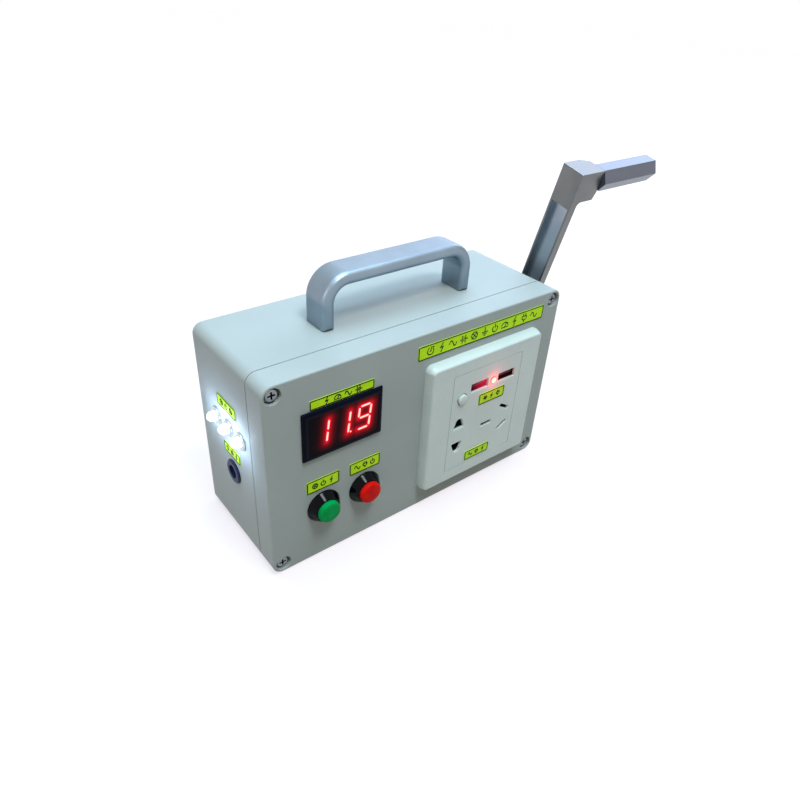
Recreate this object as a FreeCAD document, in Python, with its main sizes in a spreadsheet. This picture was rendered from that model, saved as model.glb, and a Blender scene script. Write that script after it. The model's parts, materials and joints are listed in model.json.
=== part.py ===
import FreeCAD, Part
import math
import os
import Sketcher

Vector = FreeCAD.Vector
Placement = FreeCAD.Placement
Rotation = FreeCAD.Rotation

# Hand crank generator in a plastic instrument case. Millimetres and degrees.
# The origin is the centre of the case's bottom face, X to the right along the
# case, Y into its depth, Z up. The crank turns about X at the right wall.

# Driving sizes: name, value, what it is
SIZES = [
    ("case_length", 200, "case along X"),
    ("case_depth", 75, "case along Y, lid included"),
    ("case_height", 120, "case along Z"),
    ("case_wall", 3, "wall of the case and of the lid"),
    ("corner_radius", 6, "corner of the case in the front view"),
    ("inner_radius", 3, "inside corner of the case"),
    ("back_round", 3, "rounding of the back edges"),
    ("front_round", 1, "rounding of the lid's front edges"),
    ("lid_depth", 15.5, "depth of the lid from its front face to the seam"),
    ("gasket_inset", 0.9, "outside of the case to the gasket"),
    ("gasket_width", 1.2, "gasket cord width"),
    ("gasket_depth", 1.4, "gasket groove depth"),
    ("seam_gap", 0.4, "open joint between the lid and the case, over the gasket"),
    ("post_radius", 4.6, "screw post in each corner"),
    ("lid_screw_radius", 2, "lid screw shank"),
    ("lid_screw_length", 20, "lid screw shank length"),
    ("lid_head_radius", 3.6, "lid screw head"),
    ("lid_head_height", 2.4, "lid screw head height"),
    ("counterbore_radius", 4.5, "recess round a lid screw head"),
    ("counterbore_depth", 3.6, "depth of that recess"),
    ("cross_width", 0.9, "cross recess, width of an arm"),
    ("cross_length", 4, "cross recess, tip to tip"),
    ("cross_depth", 1.4, "cross recess depth"),
    ("fit_gap", 0.2, "gap round a part set into an opening"),
    ("run_gap", 0.05, "radial running clearance of a shaft"),
    ("handle_length", 100, "handle, foot to foot outside"),
    ("handle_height", 29.7, "handle above the case"),
    ("handle_width", 19, "handle bar width along Y"),
    ("handle_bar", 7.3, "handle bar thickness"),
    ("handle_shift", 1, "handle centre to the right of the case centre"),
    ("handle_bend", 16, "outside radius of the handle's bends"),
    ("handle_edge", 3.2, "rounding of the handle bar's edges"),
    ("handle_screw_radius", 2, "handle screw shank"),
    ("handle_screw_grip", 10, "handle screw length inside the foot"),
    ("handle_head_radius", 3.8, "handle screw head"),
    ("handle_head_height", 2.6, "handle screw head height"),
    ("meter_width", 48, "meter bezel width"),
    ("meter_height", 29, "meter bezel height"),
    ("meter_flange", 2, "meter bezel, front of the lid to its face"),
    ("meter_chamfer", 1.1, "chamfer round the meter bezel"),
    ("meter_place_x", -56.4, "meter centre along X"),
    ("meter_place_z", 84.1, "meter centre above the base"),
    ("meter_body_width", 45, "meter housing width behind the lid"),
    ("meter_body_height", 26, "meter housing height behind the lid"),
    ("meter_body_depth", 18, "meter housing depth behind the bezel"),
    ("meter_body_wall", 1.2, "meter housing wall"),
    ("window_width", 42, "meter window width"),
    ("window_height", 23, "meter window height"),
    ("window_thick", 1.2, "meter window thickness"),
    ("window_sink", 0.3, "meter window below the bezel's face"),
    ("display_width", 37.6, "digit display width"),
    ("display_height", 19, "digit display height"),
    ("display_depth", 8, "digit display depth"),
    ("board_thick", 1.6, "circuit board thickness"),
    ("green_place_x", -68.5, "green button centre along X"),
    ("red_place_x", -42, "red button centre along X"),
    ("button_place_z", 35, "buttons' centres above the base"),
    ("button_flange_radius", 10, "button housing at the lid"),
    ("button_mouth_radius", 7.4, "button housing at its mouth"),
    ("button_cone", 5, "button housing, lid to mouth"),
    ("button_foot", 0.8, "straight edge of the housing at the lid"),
    ("button_barrel_radius", 8, "threaded barrel of the button"),
    ("button_barrel_length", 19, "threaded barrel behind the lid's face"),
    ("button_cap_radius", 6.5, "button cap"),
    ("button_cap_out", 8, "button cap face in front of the lid"),
    ("button_lip", 1.6, "lip that keeps the cap in"),
    ("button_collar_radius", 7, "collar of the cap behind the lip"),
    ("button_collar", 2, "thickness of that collar"),
    ("button_travel", 2.5, "travel of a button"),
    ("button_cap_round", 0.7, "rounding of the cap's face"),
    ("button_nut_radius", 11, "button nut, centre to corner"),
    ("button_nut_thick", 3, "button nut thickness"),
    ("button_block_radius", 6, "contact block behind the barrel"),
    ("button_block_length", 8, "contact block length"),
    ("led_place_y", 1.7, "middle lamp along Y"),
    ("led_pitch", 13.7, "distance from lamp to lamp"),
    ("led_place_z", 75.3, "lamps above the base"),
    ("led_flange_radius", 5, "lamp bezel"),
    ("led_flange", 1.6, "lamp bezel thickness"),
    ("led_barrel_radius", 4, "lamp holder barrel"),
    ("led_barrel_length", 9, "lamp holder barrel behind the wall's face"),
    ("led_radius", 2.6, "lamp dome"),
    ("led_dome_out", 1.4, "lamp dome's straight part beyond its bezel"),
    ("led_length", 7, "lamp body inside its holder"),
    ("dc_place_y", 0.5, "power socket along Y"),
    ("dc_place_z", 47.2, "power socket above the base"),
    ("dc_flange_radius", 7.2, "power socket ring"),
    ("dc_flange", 1.3, "power socket ring thickness"),
    ("dc_barrel_radius", 5.8, "power socket barrel"),
    ("dc_barrel_length", 15, "power socket barrel behind the wall's face"),
    ("dc_recess_radius", 3.9, "plug recess"),
    ("dc_recess_depth", 10, "plug recess depth"),
    ("dc_pin_radius", 1.1, "centre pin"),
    ("dc_nut_radius", 8.5, "power socket nut, centre to corner"),
    ("dc_nut_thick", 2.4, "power socket nut thickness"),
    ("label_thick", 0.3, "adhesive label thickness"),
    ("label_corner", 0.8, "adhesive label corner"),
    ("title_label_shift", -1.3, "long label centre from the socket plate's"),
    ("title_label_gap", 4.5, "socket plate to the long label above it"),
    ("title_label_width", 95.5, "long label width"),
    ("title_label_height", 8.6, "long label height"),
    ("meter_label_width", 38, "meter label width"),
    ("meter_label_height", 5.6, "meter label height"),
    ("meter_label_gap", 0.3, "meter bezel to its label"),
    ("button_label_width", 20, "button label width"),
    ("button_label_height", 8, "button label height"),
    ("button_label_rise", 16, "button centre to its label's centre"),
    ("lamp_label_width", 20.5, "lamp label width"),
    ("lamp_label_height", 6.8, "lamp label height"),
    ("lamp_label_rise", 13.2, "lamps to their label's centre"),
    ("dc_label_width", 18, "power socket label width"),
    ("dc_label_height", 6.5, "power socket label height"),
    ("dc_label_rise", 12.6, "power socket to its label's centre"),
    ("usb_label_width", 20.5, "outlet label width"),
    ("usb_label_height", 7.6, "outlet label height"),
    ("usb_label_drop", 7.6, "outlets to their label's centre"),
    ("mains_label_width", 19.8, "mains label width"),
    ("mains_label_height", 6.7, "mains label height"),
    ("mains_label_x", -1.5, "mains label from the plate centre"),
    ("mains_label_z", -28.35, "mains label from the plate centre, upward"),
    ("plate_width", 86, "wall socket plate width and height"),
    ("plate_thick", 6.6, "wall socket plate thickness"),
    ("plate_place_x", 39.5, "wall socket plate centre along X"),
    ("plate_place_z", 57, "wall socket plate centre above the base"),
    ("plate_slope", 20, "slope of the plate's sides"),
    ("plate_foot", 2.6, "straight edge of the plate at the lid"),
    ("plate_round", 1.4, "rounding of the plate's front edges"),
    ("plate_corner", 4, "corner of the plate in the front view"),
    ("insert_width", 54, "socket module width"),
    ("insert_height", 67.5, "socket module height"),
    ("insert_gap", 0.25, "gap between module and plate"),
    ("housing_depth", 21, "socket module behind the lid's face"),
    ("housing_wall", 2, "socket module wall"),
    ("usb_left_x", -6, "left outlet from the plate centre"),
    ("usb_right_x", 15.4, "right outlet from the plate centre"),
    ("usb_place_z", 21.15, "outlets above the plate centre"),
    ("usb_width", 13.2, "outlet shell width"),
    ("usb_height", 5.4, "outlet shell height"),
    ("usb_depth", 15, "outlet shell depth"),
    ("usb_wall", 0.4, "outlet shell wall"),
    ("usb_tongue_width", 10.6, "outlet tongue width"),
    ("usb_tongue_thick", 1.7, "outlet tongue thickness"),
    ("usb_tongue_sink", 1.6, "outlet tongue below the face"),
    ("pilot_x", 4.7, "pilot lamp from the plate centre"),
    ("pilot_radius", 2, "pilot lamp"),
    ("pilot_out", 0.5, "pilot lamp proud of the plate"),
    ("switch_x", -19.1, "white button from the plate centre"),
    ("switch_z", 16.55, "white button above the plate centre"),
    ("switch_radius", 3.7, "white button"),
    ("switch_out", 1.6, "white button proud of the plate"),
    ("switch_travel", 1, "travel of the white button"),
    ("earth_x", 3.7, "earth slot from the plate centre"),
    ("mains_z", -9.35, "mains slots' middle from the plate centre, upward"),
    ("live_x", 18, "slanted slots from the plate centre"),
    ("live_rise", 6.85, "slanted slots above and below their middle"),
    ("live_angle", 30, "slant of those slots"),
    ("slot_length", 8.2, "mains slot length"),
    ("slot_width", 2.1, "mains slot width"),
    ("two_pin_x", -19.3, "two pin holes from the plate centre"),
    ("two_pin_slot", 6.35, "two pin flat blades from their middle"),
    ("two_pin_round", 9.5, "two pin round pins from their middle"),
    ("two_pin_radius", 2.5, "two pin round hole"),
    ("two_pin_width", 7.5, "two pin flat blade slot length"),
    ("contact_thick", 0.8, "brass contact thickness"),
    ("contact_depth", 14, "brass contact depth"),
    ("socket_screw_pitch", 60.3, "plate screws, centre to centre"),
    ("socket_screw_radius", 2, "plate screw shank"),
    ("socket_screw_bite", 5, "plate screw inside the plate"),
    ("socket_head_radius", 3.4, "plate screw head"),
    ("socket_head_height", 2.4, "plate screw head height"),
    ("crank_place_y", 7.5, "crank axis along Y"),
    ("crank_place_z", 60, "crank axis above the base"),
    ("crank_lean", 13.3, "lean of the crank arm at rest"),
    ("crank_gap", 10, "case wall to the crank arm"),
    ("arm_reach", 128.1, "crank axis to the arm's tip"),
    ("arm_width", 15.5, "crank arm width"),
    ("arm_thick", 5.3, "crank arm thickness"),
    ("arm_wall", 1.3, "wall of the arm's channel"),
    ("arm_tail", 9, "arm below the crank axis"),
    ("arm_solid", 22.4, "solid top of the arm"),
    ("arm_tail_flat", 1.2, "flat left at the end of the arm's tail"),
    ("hub_radius", 7.2, "hub of the arm round its shaft"),
    ("hub_depth", 7, "hub from the arm toward the case"),
    ("block_length", 19.5, "arm's end block, inner face to shoulder"),
    ("block_height", 18.1, "arm's end block height"),
    ("block_taper", 13.3, "start of the block's taper behind"),
    ("block_back", 4.2, "back edge of the shoulder from the arm's middle"),
    ("block_fillet", 3, "fillet under the block at the arm"),
    ("block_slant_length", 1.6, "slanted corner under the block, along X"),
    ("block_slant_height", 4.8, "slanted corner under the block, along Z"),
    ("hinge_place_x", 13, "hinge pin from the arm's inner face"),
    ("hinge_drop", 10, "hinge pin below the arm's tip"),
    ("hinge_mid", -1.9, "middle of the hinge slot from the arm's middle"),
    ("hinge_slot", 4.9, "hinge slot width"),
    ("hinge_slot_top", 5.2, "top of the hinge slot below the tip"),
    ("hinge_slot_start", 8, "hinge slot from the arm's inner face"),
    ("tongue_thick", 4.5, "grip tongue thickness"),
    ("tongue_radius", 4.4, "grip tongue round the pin"),
    ("tongue_overlap", 1, "grip tongue inside the grip past its relief"),
    ("pin_radius", 1.5, "hinge pin"),
    ("pin_inset", 1.8, "hinge pin from the arm's front and back faces"),
    ("grip_length", 49.6, "grip, shoulder to end"),
    ("grip_side", 7.7, "side of the grip's hexagon"),
    ("grip_mid", -3.6, "middle of the grip from the arm's middle"),
    ("grip_relief", 9.8, "relief of the grip round the hinge pin"),
    ("grip_gap", 0.1, "gap between block and grip"),
    ("shaft_radius", 3, "crank shaft"),
    ("shaft_end", 2.3, "arm's outer face to the shaft's end"),
    ("hub_screw_radius", 2, "crank hub screw shank"),
    ("hub_screw_length", 8, "crank hub screw shank length"),
    ("hub_head_radius", 3.8, "crank hub screw head"),
    ("hub_head_height", 2.5, "crank hub screw head height"),
    ("bush_radius", 5, "bearing bush"),
    ("bush_flange_radius", 7, "flange of the wall bush"),
    ("bush_flange", 2, "thickness of that flange"),
    ("drive_teeth", 56, "teeth of the crank gear and of the idler wheel"),
    ("pinion_teeth", 14, "teeth of both pinions"),
    ("drive_module", 0.9, "tooth module of the first pair"),
    ("idler_module", 0.8, "tooth module of the second pair"),
    ("pressure_angle", 20, "pressure angle of the teeth"),
    ("tooth_addendum", 0.8, "tooth above its pitch circle, in modules"),
    ("tooth_dedendum", 1.05, "tooth below its pitch circle, in modules"),
    ("tooth_backlash", 0.12, "thinning of each tooth"),
    ("gear_width", 6, "face width of the gears"),
    ("gear_web", 3, "web of the large gears"),
    ("gear_rim", 3, "rim of the large gears under the teeth"),
    ("gear_hub_radius", 6, "hub of the crank gear"),
    ("gear_hub_length", 4, "hub of the crank gear beside its teeth"),
    ("gear_side", 2, "gearbox plates to the gears"),
    ("idler_hub_radius", 5, "idler between its wheel and its pinion"),
    ("idler_shaft_radius", 2, "idler shaft"),
    ("rotor_axis_shift", 9.5, "generator axis behind the crank axis"),
    ("gearbox_gap", 9, "right wall to the gearbox"),
    ("gear_plate", 2.5, "gearbox plate thickness"),
    ("gearbox_width", 23, "gearbox between its plates"),
    ("gearbox_below", 30, "gearbox plate below the crank axis"),
    ("gearbox_above", 24.5, "gearbox plate above the idler axis"),
    ("gearbox_front", 22, "gearbox plate in front of the crank axis"),
    ("gearbox_back", 24, "gearbox plate behind the crank axis"),
    ("gearbox_corner", 4, "gearbox plate corner"),
    ("standoff_radius", 3, "gearbox standoff"),
    ("standoff_inset", 4, "standoff from the plate's edges"),
    ("gearbox_screw_radius", 1.5, "gearbox screw shank"),
    ("gearbox_head_radius", 2.7, "gearbox screw head"),
    ("gearbox_head_height", 2, "gearbox screw head height"),
    ("generator_radius", 16, "generator can"),
    ("generator_length", 46, "generator can length"),
    ("generator_wall", 1.5, "generator can wall"),
    ("generator_cap", 3, "generator end cap thickness"),
    ("generator_boss", 4, "generator front boss radius"),
    ("rotor_shaft_radius", 1.6, "generator shaft"),
    ("magnet_thick", 2.6, "field magnet thickness"),
    ("magnet_length", 32, "field magnet length"),
    ("magnet_gap", 5, "gap between the two field magnets"),
    ("armature_radius", 11, "armature"),
    ("armature_length", 24, "armature length"),
    ("armature_slot", 2.4, "armature slot width"),
    ("armature_slots", 6, "number of armature slots"),
    ("winding_radius", 9.5, "winding end turns"),
    ("winding_length", 4, "winding end turns along the shaft"),
    ("commutator_radius", 4, "commutator"),
    ("commutator_length", 5, "commutator length"),
    ("brush_height", 4, "brush height"),
    ("brush_width", 3.4, "brush width"),
    ("brush_length", 6, "brush length"),
    ("board_lift", 4, "back wall to a circuit board"),
    ("board_post_radius", 3, "post under a circuit board"),
    ("board_post_inset", 4, "post from the board's edges"),
    ("inverter_place_x", -9, "inverter board's left edge"),
    ("inverter_place_z", 7, "inverter board's lower edge"),
    ("inverter_width", 66, "inverter board width"),
    ("inverter_height", 36, "inverter board height"),
    ("transformer_width", 26, "transformer width"),
    ("transformer_height", 22, "transformer height"),
    ("transformer_depth", 19, "transformer depth"),
    ("transformer_core", 6, "transformer core leg"),
    ("sink_width", 14, "heat sink width"),
    ("sink_depth", 16, "heat sink depth"),
    ("sink_height", 24, "heat sink height"),
    ("sink_fins", 5, "number of heat sink fins"),
    ("sink_fin", 1.4, "heat sink fin thickness"),
    ("capacitor_radius", 4.5, "capacitor"),
    ("capacitor_length", 17, "capacitor length"),
    ("charger_place_x", 3, "charging board's left edge"),
    ("charger_place_z", 88, "charging board's lower edge"),
    ("charger_width", 54, "charging board width"),
    ("charger_height", 24, "charging board height"),
    ("cell_radius", 9.1, "battery cell"),
    ("cell_length", 65, "battery cell length"),
    ("cell_pitch", 20, "distance from cell to cell"),
    ("cell_count", 3, "number of cells"),
    ("cell_button", 3, "radius of a cell's raised end"),
    ("cell_button_height", 1, "height of a cell's raised end"),
    ("holder_wall", 1.5, "battery holder wall"),
    ("holder_depth", 16, "battery holder depth"),
    ("holder_place_x", -88, "battery holder's left end"),
    ("holder_place_z", 5, "battery holder's lower edge"),
    ("tab_thick", 0.5, "battery contact thickness"),
    ("tab_width", 9, "battery contact width"),
    ("tab_gap", 0.2, "cell to its contact"),
]

doc = FreeCAD.newDocument("hand_crank_generator")
sheet = doc.addObject("Spreadsheet::Sheet", "sizes")


class Size:
    """A number together with the sheet formula that gives it."""

    def __init__(self, text, number):
        self.text = text
        self.number = number

    def join(self, other, sign, number):
        return Size(f"({self.text} {sign} {other.text})", number)

    def __add__(self, other):
        other = size(other)
        return self.join(other, "+", self.number + other.number)

    def __sub__(self, other):
        other = size(other)
        return self.join(other, "-", self.number - other.number)

    def __mul__(self, other):
        other = size(other)
        return self.join(other, "*", self.number * other.number)

    def __truediv__(self, other):
        other = size(other)
        return self.join(other, "/", self.number / other.number)

    def __radd__(self, other):
        return size(other) + self

    def __rsub__(self, other):
        return size(other) - self

    def __rmul__(self, other):
        return size(other) * self

    def __neg__(self):
        return Size(f"(0 - {self.text})", -self.number)


def size(value):
    if isinstance(value, Size):
        return value
    return Size(f"{value:.10g}", float(value))


def cosine(angle):
    angle = size(angle)
    return Size(f"cos({angle.text})", math.cos(math.radians(angle.number)))


def sine(angle):
    angle = size(angle)
    return Size(f"sin({angle.text})", math.sin(math.radians(angle.number)))


def root(value):
    return Size(f"sqrt({value.text})", math.sqrt(value.number))


class Sheet:
    """The driving sizes by name, each bound to its cell."""

    def __init__(self, rows):
        for number, (alias, value, note) in enumerate(rows, 1):
            cell = f"A{number}"
            sheet.set(cell, str(value))
            sheet.setAlias(cell, alias)
            setattr(self, alias, Size(f"sizes.{alias}", float(value)))


S = Sheet(SIZES)
doc.recompute()


def bind(thing, path, value):
    value = size(value)
    thing.setExpression(path, value.text)


def put(thing, x=0, y=0, z=0, axis=None, angle=0):
    # Places a solid, turned about an axis through its own origin.
    turn = Rotation(axis, size(angle).number) if axis else Rotation()
    here = Vector(size(x).number, size(y).number, size(z).number)
    thing.Placement = Placement(here, turn)
    bind(thing, "Placement.Base.x", x)
    bind(thing, "Placement.Base.y", y)
    bind(thing, "Placement.Base.z", z)
    if axis and isinstance(angle, Size):
        bind(thing, "Placement.Rotation.Angle", angle)
    return thing


count = {}


def make(kind, name):
    # Helper solids get a running number, so that every name is used once.
    count[name] = count.get(name, 0) + 1
    return doc.addObject(kind, f"{name}_{count[name]}")


ALONG = {
    "X": Rotation(Vector(0, 1, 0), 90),
    "Y": Rotation(Vector(1, 0, 0), -90),
    "Z": Rotation(),
}


def block(name, x, y, z, length, width, height):
    # x, y, z is the lowest corner.
    solid = make("Part::Box", name)
    bind(solid, "Length", length)
    bind(solid, "Width", width)
    bind(solid, "Height", height)
    return put(solid, x, y, z)


def rod(name, axis, x, y, z, radius, length):
    # A cylinder from its starting point toward +axis.
    solid = make("Part::Cylinder", name)
    bind(solid, "Radius", radius)
    bind(solid, "Height", length)
    put(solid, x, y, z)
    solid.Placement = Placement(solid.Placement.Base, ALONG[axis])
    return solid


def hexagon(name, axis, x, y, z, radius, length):
    solid = make("Part::Prism", name)
    solid.Polygon = 6
    bind(solid, "Circumradius", radius)
    bind(solid, "Height", length)
    put(solid, x, y, z)
    solid.Placement = Placement(solid.Placement.Base, ALONG[axis])
    return solid


def fuse(name, solids):
    joined = make("Part::MultiFuse", name)
    joined.Shapes = solids
    joined.Refine = True
    return joined


def cut(name, base, tools):
    removed = make("Part::Cut", name)
    removed.Base = base
    removed.Tool = tools[0] if len(tools) == 1 else fuse(name + "_tools", tools)
    removed.Refine = True
    return removed


nodes = {}


def node(name, solid):
    # A finished sub-part: its label is its name.
    solid.Label = name
    nodes[name] = solid
    return solid


def group(name, solids):
    # Equal small parts that stay separate solids.
    gathered = make("Part::Compound", name)
    gathered.Links = solids
    return node(name, gathered)


# Closed outlines for sketches
def rectangle(a0, b0, a1, b1):
    return ("corners", [(a0, b0), (a1, b0), (a1, b1), (a0, b1)])


def polygon(points):
    return ("corners", points)


def circle(a, b, radius):
    return ("circle", (a, b, radius))


def rounded(a0, b0, a1, b1, radius):
    # A rectangle whose corners are quarter arcs.
    return ("rounded", (a0, b0, a1, b1, radius))


PLANES = {"XY": "XY_Plane", "XZ": "XZ_Plane", "YZ": "YZ_Plane"}


class Moulding:
    """A PartDesign body made by pads, pockets, turned outlines and fillets."""

    def __init__(self, name):
        self.name = name
        self.body = make("PartDesign::Body", name)

    def origin(self, role):
        features = self.body.Origin.OriginFeatures
        return next(item for item in features if item.Role == role)

    def fix(self, sketch, kind, place, a, b):
        # Holds a point of the sketch at a, b from the sketch's origin.
        for axis, value in (("DistanceX", a), ("DistanceY", b)):
            value = size(value)
            index = sketch.addConstraint(
                Sketcher.Constraint(axis, -1, 1, kind, place, value.number))
            bind(sketch, f"Constraints[{index}]", value)

    def radius(self, sketch, item, value):
        value = size(value)
        index = sketch.addConstraint(
            Sketcher.Constraint("Radius", item, value.number))
        bind(sketch, f"Constraints[{index}]", value)

    def draw_corners(self, sketch, points):
        flat = [Vector(size(a).number, size(b).number, 0) for a, b in points]
        first = sketch.GeometryCount
        total = len(flat)
        for k in range(total):
            line = Part.LineSegment(flat[k], flat[(k + 1) % total])
            sketch.addGeometry(line, False)
        for k in range(total):
            follower = first + (k + 1) % total
            sketch.addConstraint(
                Sketcher.Constraint("Coincident", first + k, 2, follower, 1))
        for k, (a, b) in enumerate(points):
            self.fix(sketch, first + k, 1, a, b)

    def draw_circle(self, sketch, spec):
        a, b, radius = spec
        item = sketch.GeometryCount
        centre = Vector(size(a).number, size(b).number, 0)
        ring = Part.Circle(centre, Vector(0, 0, 1), size(radius).number)
        sketch.addGeometry(ring, False)
        self.fix(sketch, item, 3, a, b)
        self.radius(sketch, item, radius)

    def draw_rounded(self, sketch, spec):
        a0, b0, a1, b1, r = spec
        ends = [
            (a0 + r, b0), (a1 - r, b0), (a1, b0 + r), (a1, b1 - r),
            (a1 - r, b1), (a0 + r, b1), (a0, b1 - r), (a0, b0 + r),
        ]
        middles = [(a1 - r, b0 + r), (a1 - r, b1 - r), (a0 + r, b1 - r), (a0 + r, b0 + r)]
        flat = [Vector(size(a).number, size(b).number, 0) for a, b in ends]
        first = sketch.GeometryCount
        for side in range(4):
            line = Part.LineSegment(flat[2 * side], flat[2 * side + 1])
            sketch.addGeometry(line, False)
            centre = Vector(*(size(c).number for c in middles[side]), 0)
            start = math.radians(90 * side - 90)
            ring = Part.Circle(centre, Vector(0, 0, 1), size(r).number)
            arc = Part.ArcOfCircle(ring, start, start + math.pi / 2)
            sketch.addGeometry(arc, False)
        for side in range(4):
            line = first + 2 * side
            arc = line + 1
            following = first + (2 * side + 2) % 8
            sketch.addConstraint(Sketcher.Constraint("Coincident", line, 2, arc, 1))
            sketch.addConstraint(Sketcher.Constraint("Coincident", arc, 2, following, 1))
            self.fix(sketch, line, 1, *ends[2 * side])
            self.fix(sketch, line, 2, *ends[2 * side + 1])
            self.radius(sketch, arc, r)

    def sketch(self, plane, outlines, offset):
        drawing = make("Sketcher::SketchObject", self.name + "_sketch")
        self.body.addObject(drawing)
        drawing.AttachmentSupport = [(self.origin(PLANES[plane]), "")]
        drawing.MapMode = "FlatFace"
        # The XZ plane faces -Y, so its offsets change sign.
        away = -size(offset) if plane == "XZ" else size(offset)
        drawing.AttachmentOffset = Placement(Vector(0, 0, away.number), Rotation())
        bind(drawing, "AttachmentOffset.Base.z", away)
        draw = {
            "corners": self.draw_corners,
            "circle": self.draw_circle,
            "rounded": self.draw_rounded,
        }
        for kind, spec in outlines:
            draw[kind](drawing, spec)
        return drawing

    def feature(self, kind, word):
        item = make(kind, f"{self.name}_{word}")
        self.body.addObject(item)
        return item

    def pad(self, plane, outlines, offset, length):
        # Adds material from offset to offset + length along the plane's axis.
        drawing = self.sketch(plane, outlines, offset)
        item = self.feature("PartDesign::Pad", "pad")
        item.Profile = drawing
        bind(item, "Length", length)
        item.Reversed = plane == "XZ"
        doc.recompute()
        return self

    def slope(self, plane, outlines, offset, length, angle):
        # Adds material outward from offset, drawn in by the angle, toward -Y.
        self.pad(plane, outlines, offset, length)
        item = self.body.Tip
        item.Reversed = not item.Reversed
        bind(item, "TaperAngle", -angle)
        doc.recompute()
        return self

    def pocket(self, plane, outlines, offset, length):
        # Takes material away from offset to offset + length.
        drawing = self.sketch(plane, outlines, offset)
        item = self.feature("PartDesign::Pocket", "pocket")
        item.Profile = drawing
        bind(item, "Length", length)
        item.Reversed = plane != "XZ"
        before = self.body.Shape.Volume
        doc.recompute()
        if self.body.Shape.Volume >= before:
            raise ValueError(f"a pocket of {self.name} cuts nothing")
        return self

    def turn(self, outline):
        # Turns an outline of the XZ plane about Z.
        drawing = self.sketch("XZ", [outline], 0)
        item = self.feature("PartDesign::Revolution", "turned")
        item.Profile = drawing
        item.ReferenceAxis = (drawing, ["V_Axis"])
        item.Angle = 360
        doc.recompute()
        return self

    def fillet(self, radius, chosen):
        item = self.feature("PartDesign::Fillet", "fillet")
        item.Base = (item.BaseFeature, self.named(item.BaseFeature, chosen))
        bind(item, "Radius", radius)
        doc.recompute()
        return self

    def chamfer(self, width, chosen):
        item = self.feature("PartDesign::Chamfer", "chamfer")
        item.Base = (item.BaseFeature, self.named(item.BaseFeature, chosen))
        bind(item, "Size", width)
        doc.recompute()
        return self

    def named(self, base, chosen):
        edges = enumerate(base.Shape.Edges, 1)
        names = [f"Edge{k}" for k, edge in edges if chosen(edge)]
        if not names:
            raise ValueError(f"no edges chosen on {self.name}")
        return names

    def done(self, x=0, y=0, z=0, axis=None, angle=0):
        return put(self.body, x, y, z, axis, angle)


NEAR = 1e-4


def near(value, wanted):
    return abs(value - size(wanted).number) < NEAR


def runs_along(axis):
    # Chooses straight edges along an axis.
    def test(edge):
        if edge.Curve.TypeId != "Part::GeomLine":
            return False
        way = edge.Vertexes[-1].Point - edge.Vertexes[0].Point
        return abs(way.normalize()[axis]) > 1 - NEAR
    return test


def lies_at(axis, value):
    # Chooses edges that lie in the plane where a coordinate has this value.
    def test(edge):
        box = edge.BoundBox
        ends = ((box.XMin, box.XMax), (box.YMin, box.YMax), (box.ZMin, box.ZMax))[axis]
        return near(ends[0], value) and near(ends[1], value)
    return test


def both(*tests):
    return lambda edge: all(test(edge) for test in tests)


def beyond(axis, value, sign=1):
    # Chooses edges whose middle lies past a coordinate.
    limit = size(value).number
    return lambda edge: sign * (edge.CenterOfMass[axis] - limit) > 0


# Main planes of the case
left = -S.case_length / 2
right = S.case_length / 2
front = -S.case_depth / 2
back = S.case_depth / 2
top = S.case_height
seam = front + S.lid_depth
lid_end = seam - S.seam_gap
inside_left = left + S.case_wall
inside_right = right - S.case_wall
inside_front = front + S.case_wall
inside_back = back - S.case_wall
inside_top = top - S.case_wall

# Corner screw posts
post_x = right - S.corner_radius
post_places = [(sx * post_x, z) for sx in (-1, 1) for z in (S.corner_radius, top - S.corner_radius)]

# Crank, idler and generator axes, all along X
idler_distance = S.drive_module * (S.drive_teeth + S.pinion_teeth) / 2
rotor_distance = S.idler_module * (S.drive_teeth + S.pinion_teeth) / 2
idler_y = S.crank_place_y
idler_z = S.crank_place_z + idler_distance
rotor_y = S.crank_place_y + S.rotor_axis_shift
rotor_drop = root(rotor_distance * rotor_distance - S.rotor_axis_shift * S.rotor_axis_shift)
rotor_z = idler_z - rotor_drop

# Gearbox planes, from the right wall inward
outer_plate_x = inside_right - S.gearbox_gap - S.gear_plate
inner_plate_x = outer_plate_x - S.gearbox_width - S.gear_plate
box_start = inner_plate_x + S.gear_plate
plate_y0 = S.crank_place_y - S.gearbox_front
plate_y1 = S.crank_place_y + S.gearbox_back
plate_z0 = S.crank_place_z - S.gearbox_below
plate_z1 = idler_z + S.gearbox_above
standoff_places = [
    (plate_y0 + S.standoff_inset, plate_z0 + S.standoff_inset),
    (plate_y0 + S.standoff_inset, plate_z1 - S.standoff_inset),
    (plate_y1 - S.standoff_inset, plate_z0 + S.standoff_inset),
    (plate_y1 - S.standoff_inset, plate_z1 - S.standoff_inset),
]

# Circuit boards on the back wall
board_y = inside_back - S.board_lift - S.board_thick
inverter_x1 = S.inverter_place_x + S.inverter_width
inverter_z1 = S.inverter_place_z + S.inverter_height
charger_x1 = S.charger_place_x + S.charger_width
charger_z1 = S.charger_place_z + S.charger_height
board_posts = [
    (x, z)
    for x0, x1, z0, z1 in (
        (S.inverter_place_x, inverter_x1, S.inverter_place_z, inverter_z1),
        (S.charger_place_x, charger_x1, S.charger_place_z, charger_z1))
    for x in (x0 + S.board_post_inset, x1 - S.board_post_inset)
    for z in (z0 + S.board_post_inset, z1 - S.board_post_inset)
]

handle_x = S.handle_shift
handle_foot = S.handle_length / 2 - S.handle_bar / 2
handle_feet = [handle_x - handle_foot, handle_x + handle_foot]

plate_face = front - S.plate_thick
led_places = [S.led_place_y + k * S.led_pitch for k in (-1, 0, 1)]


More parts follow.
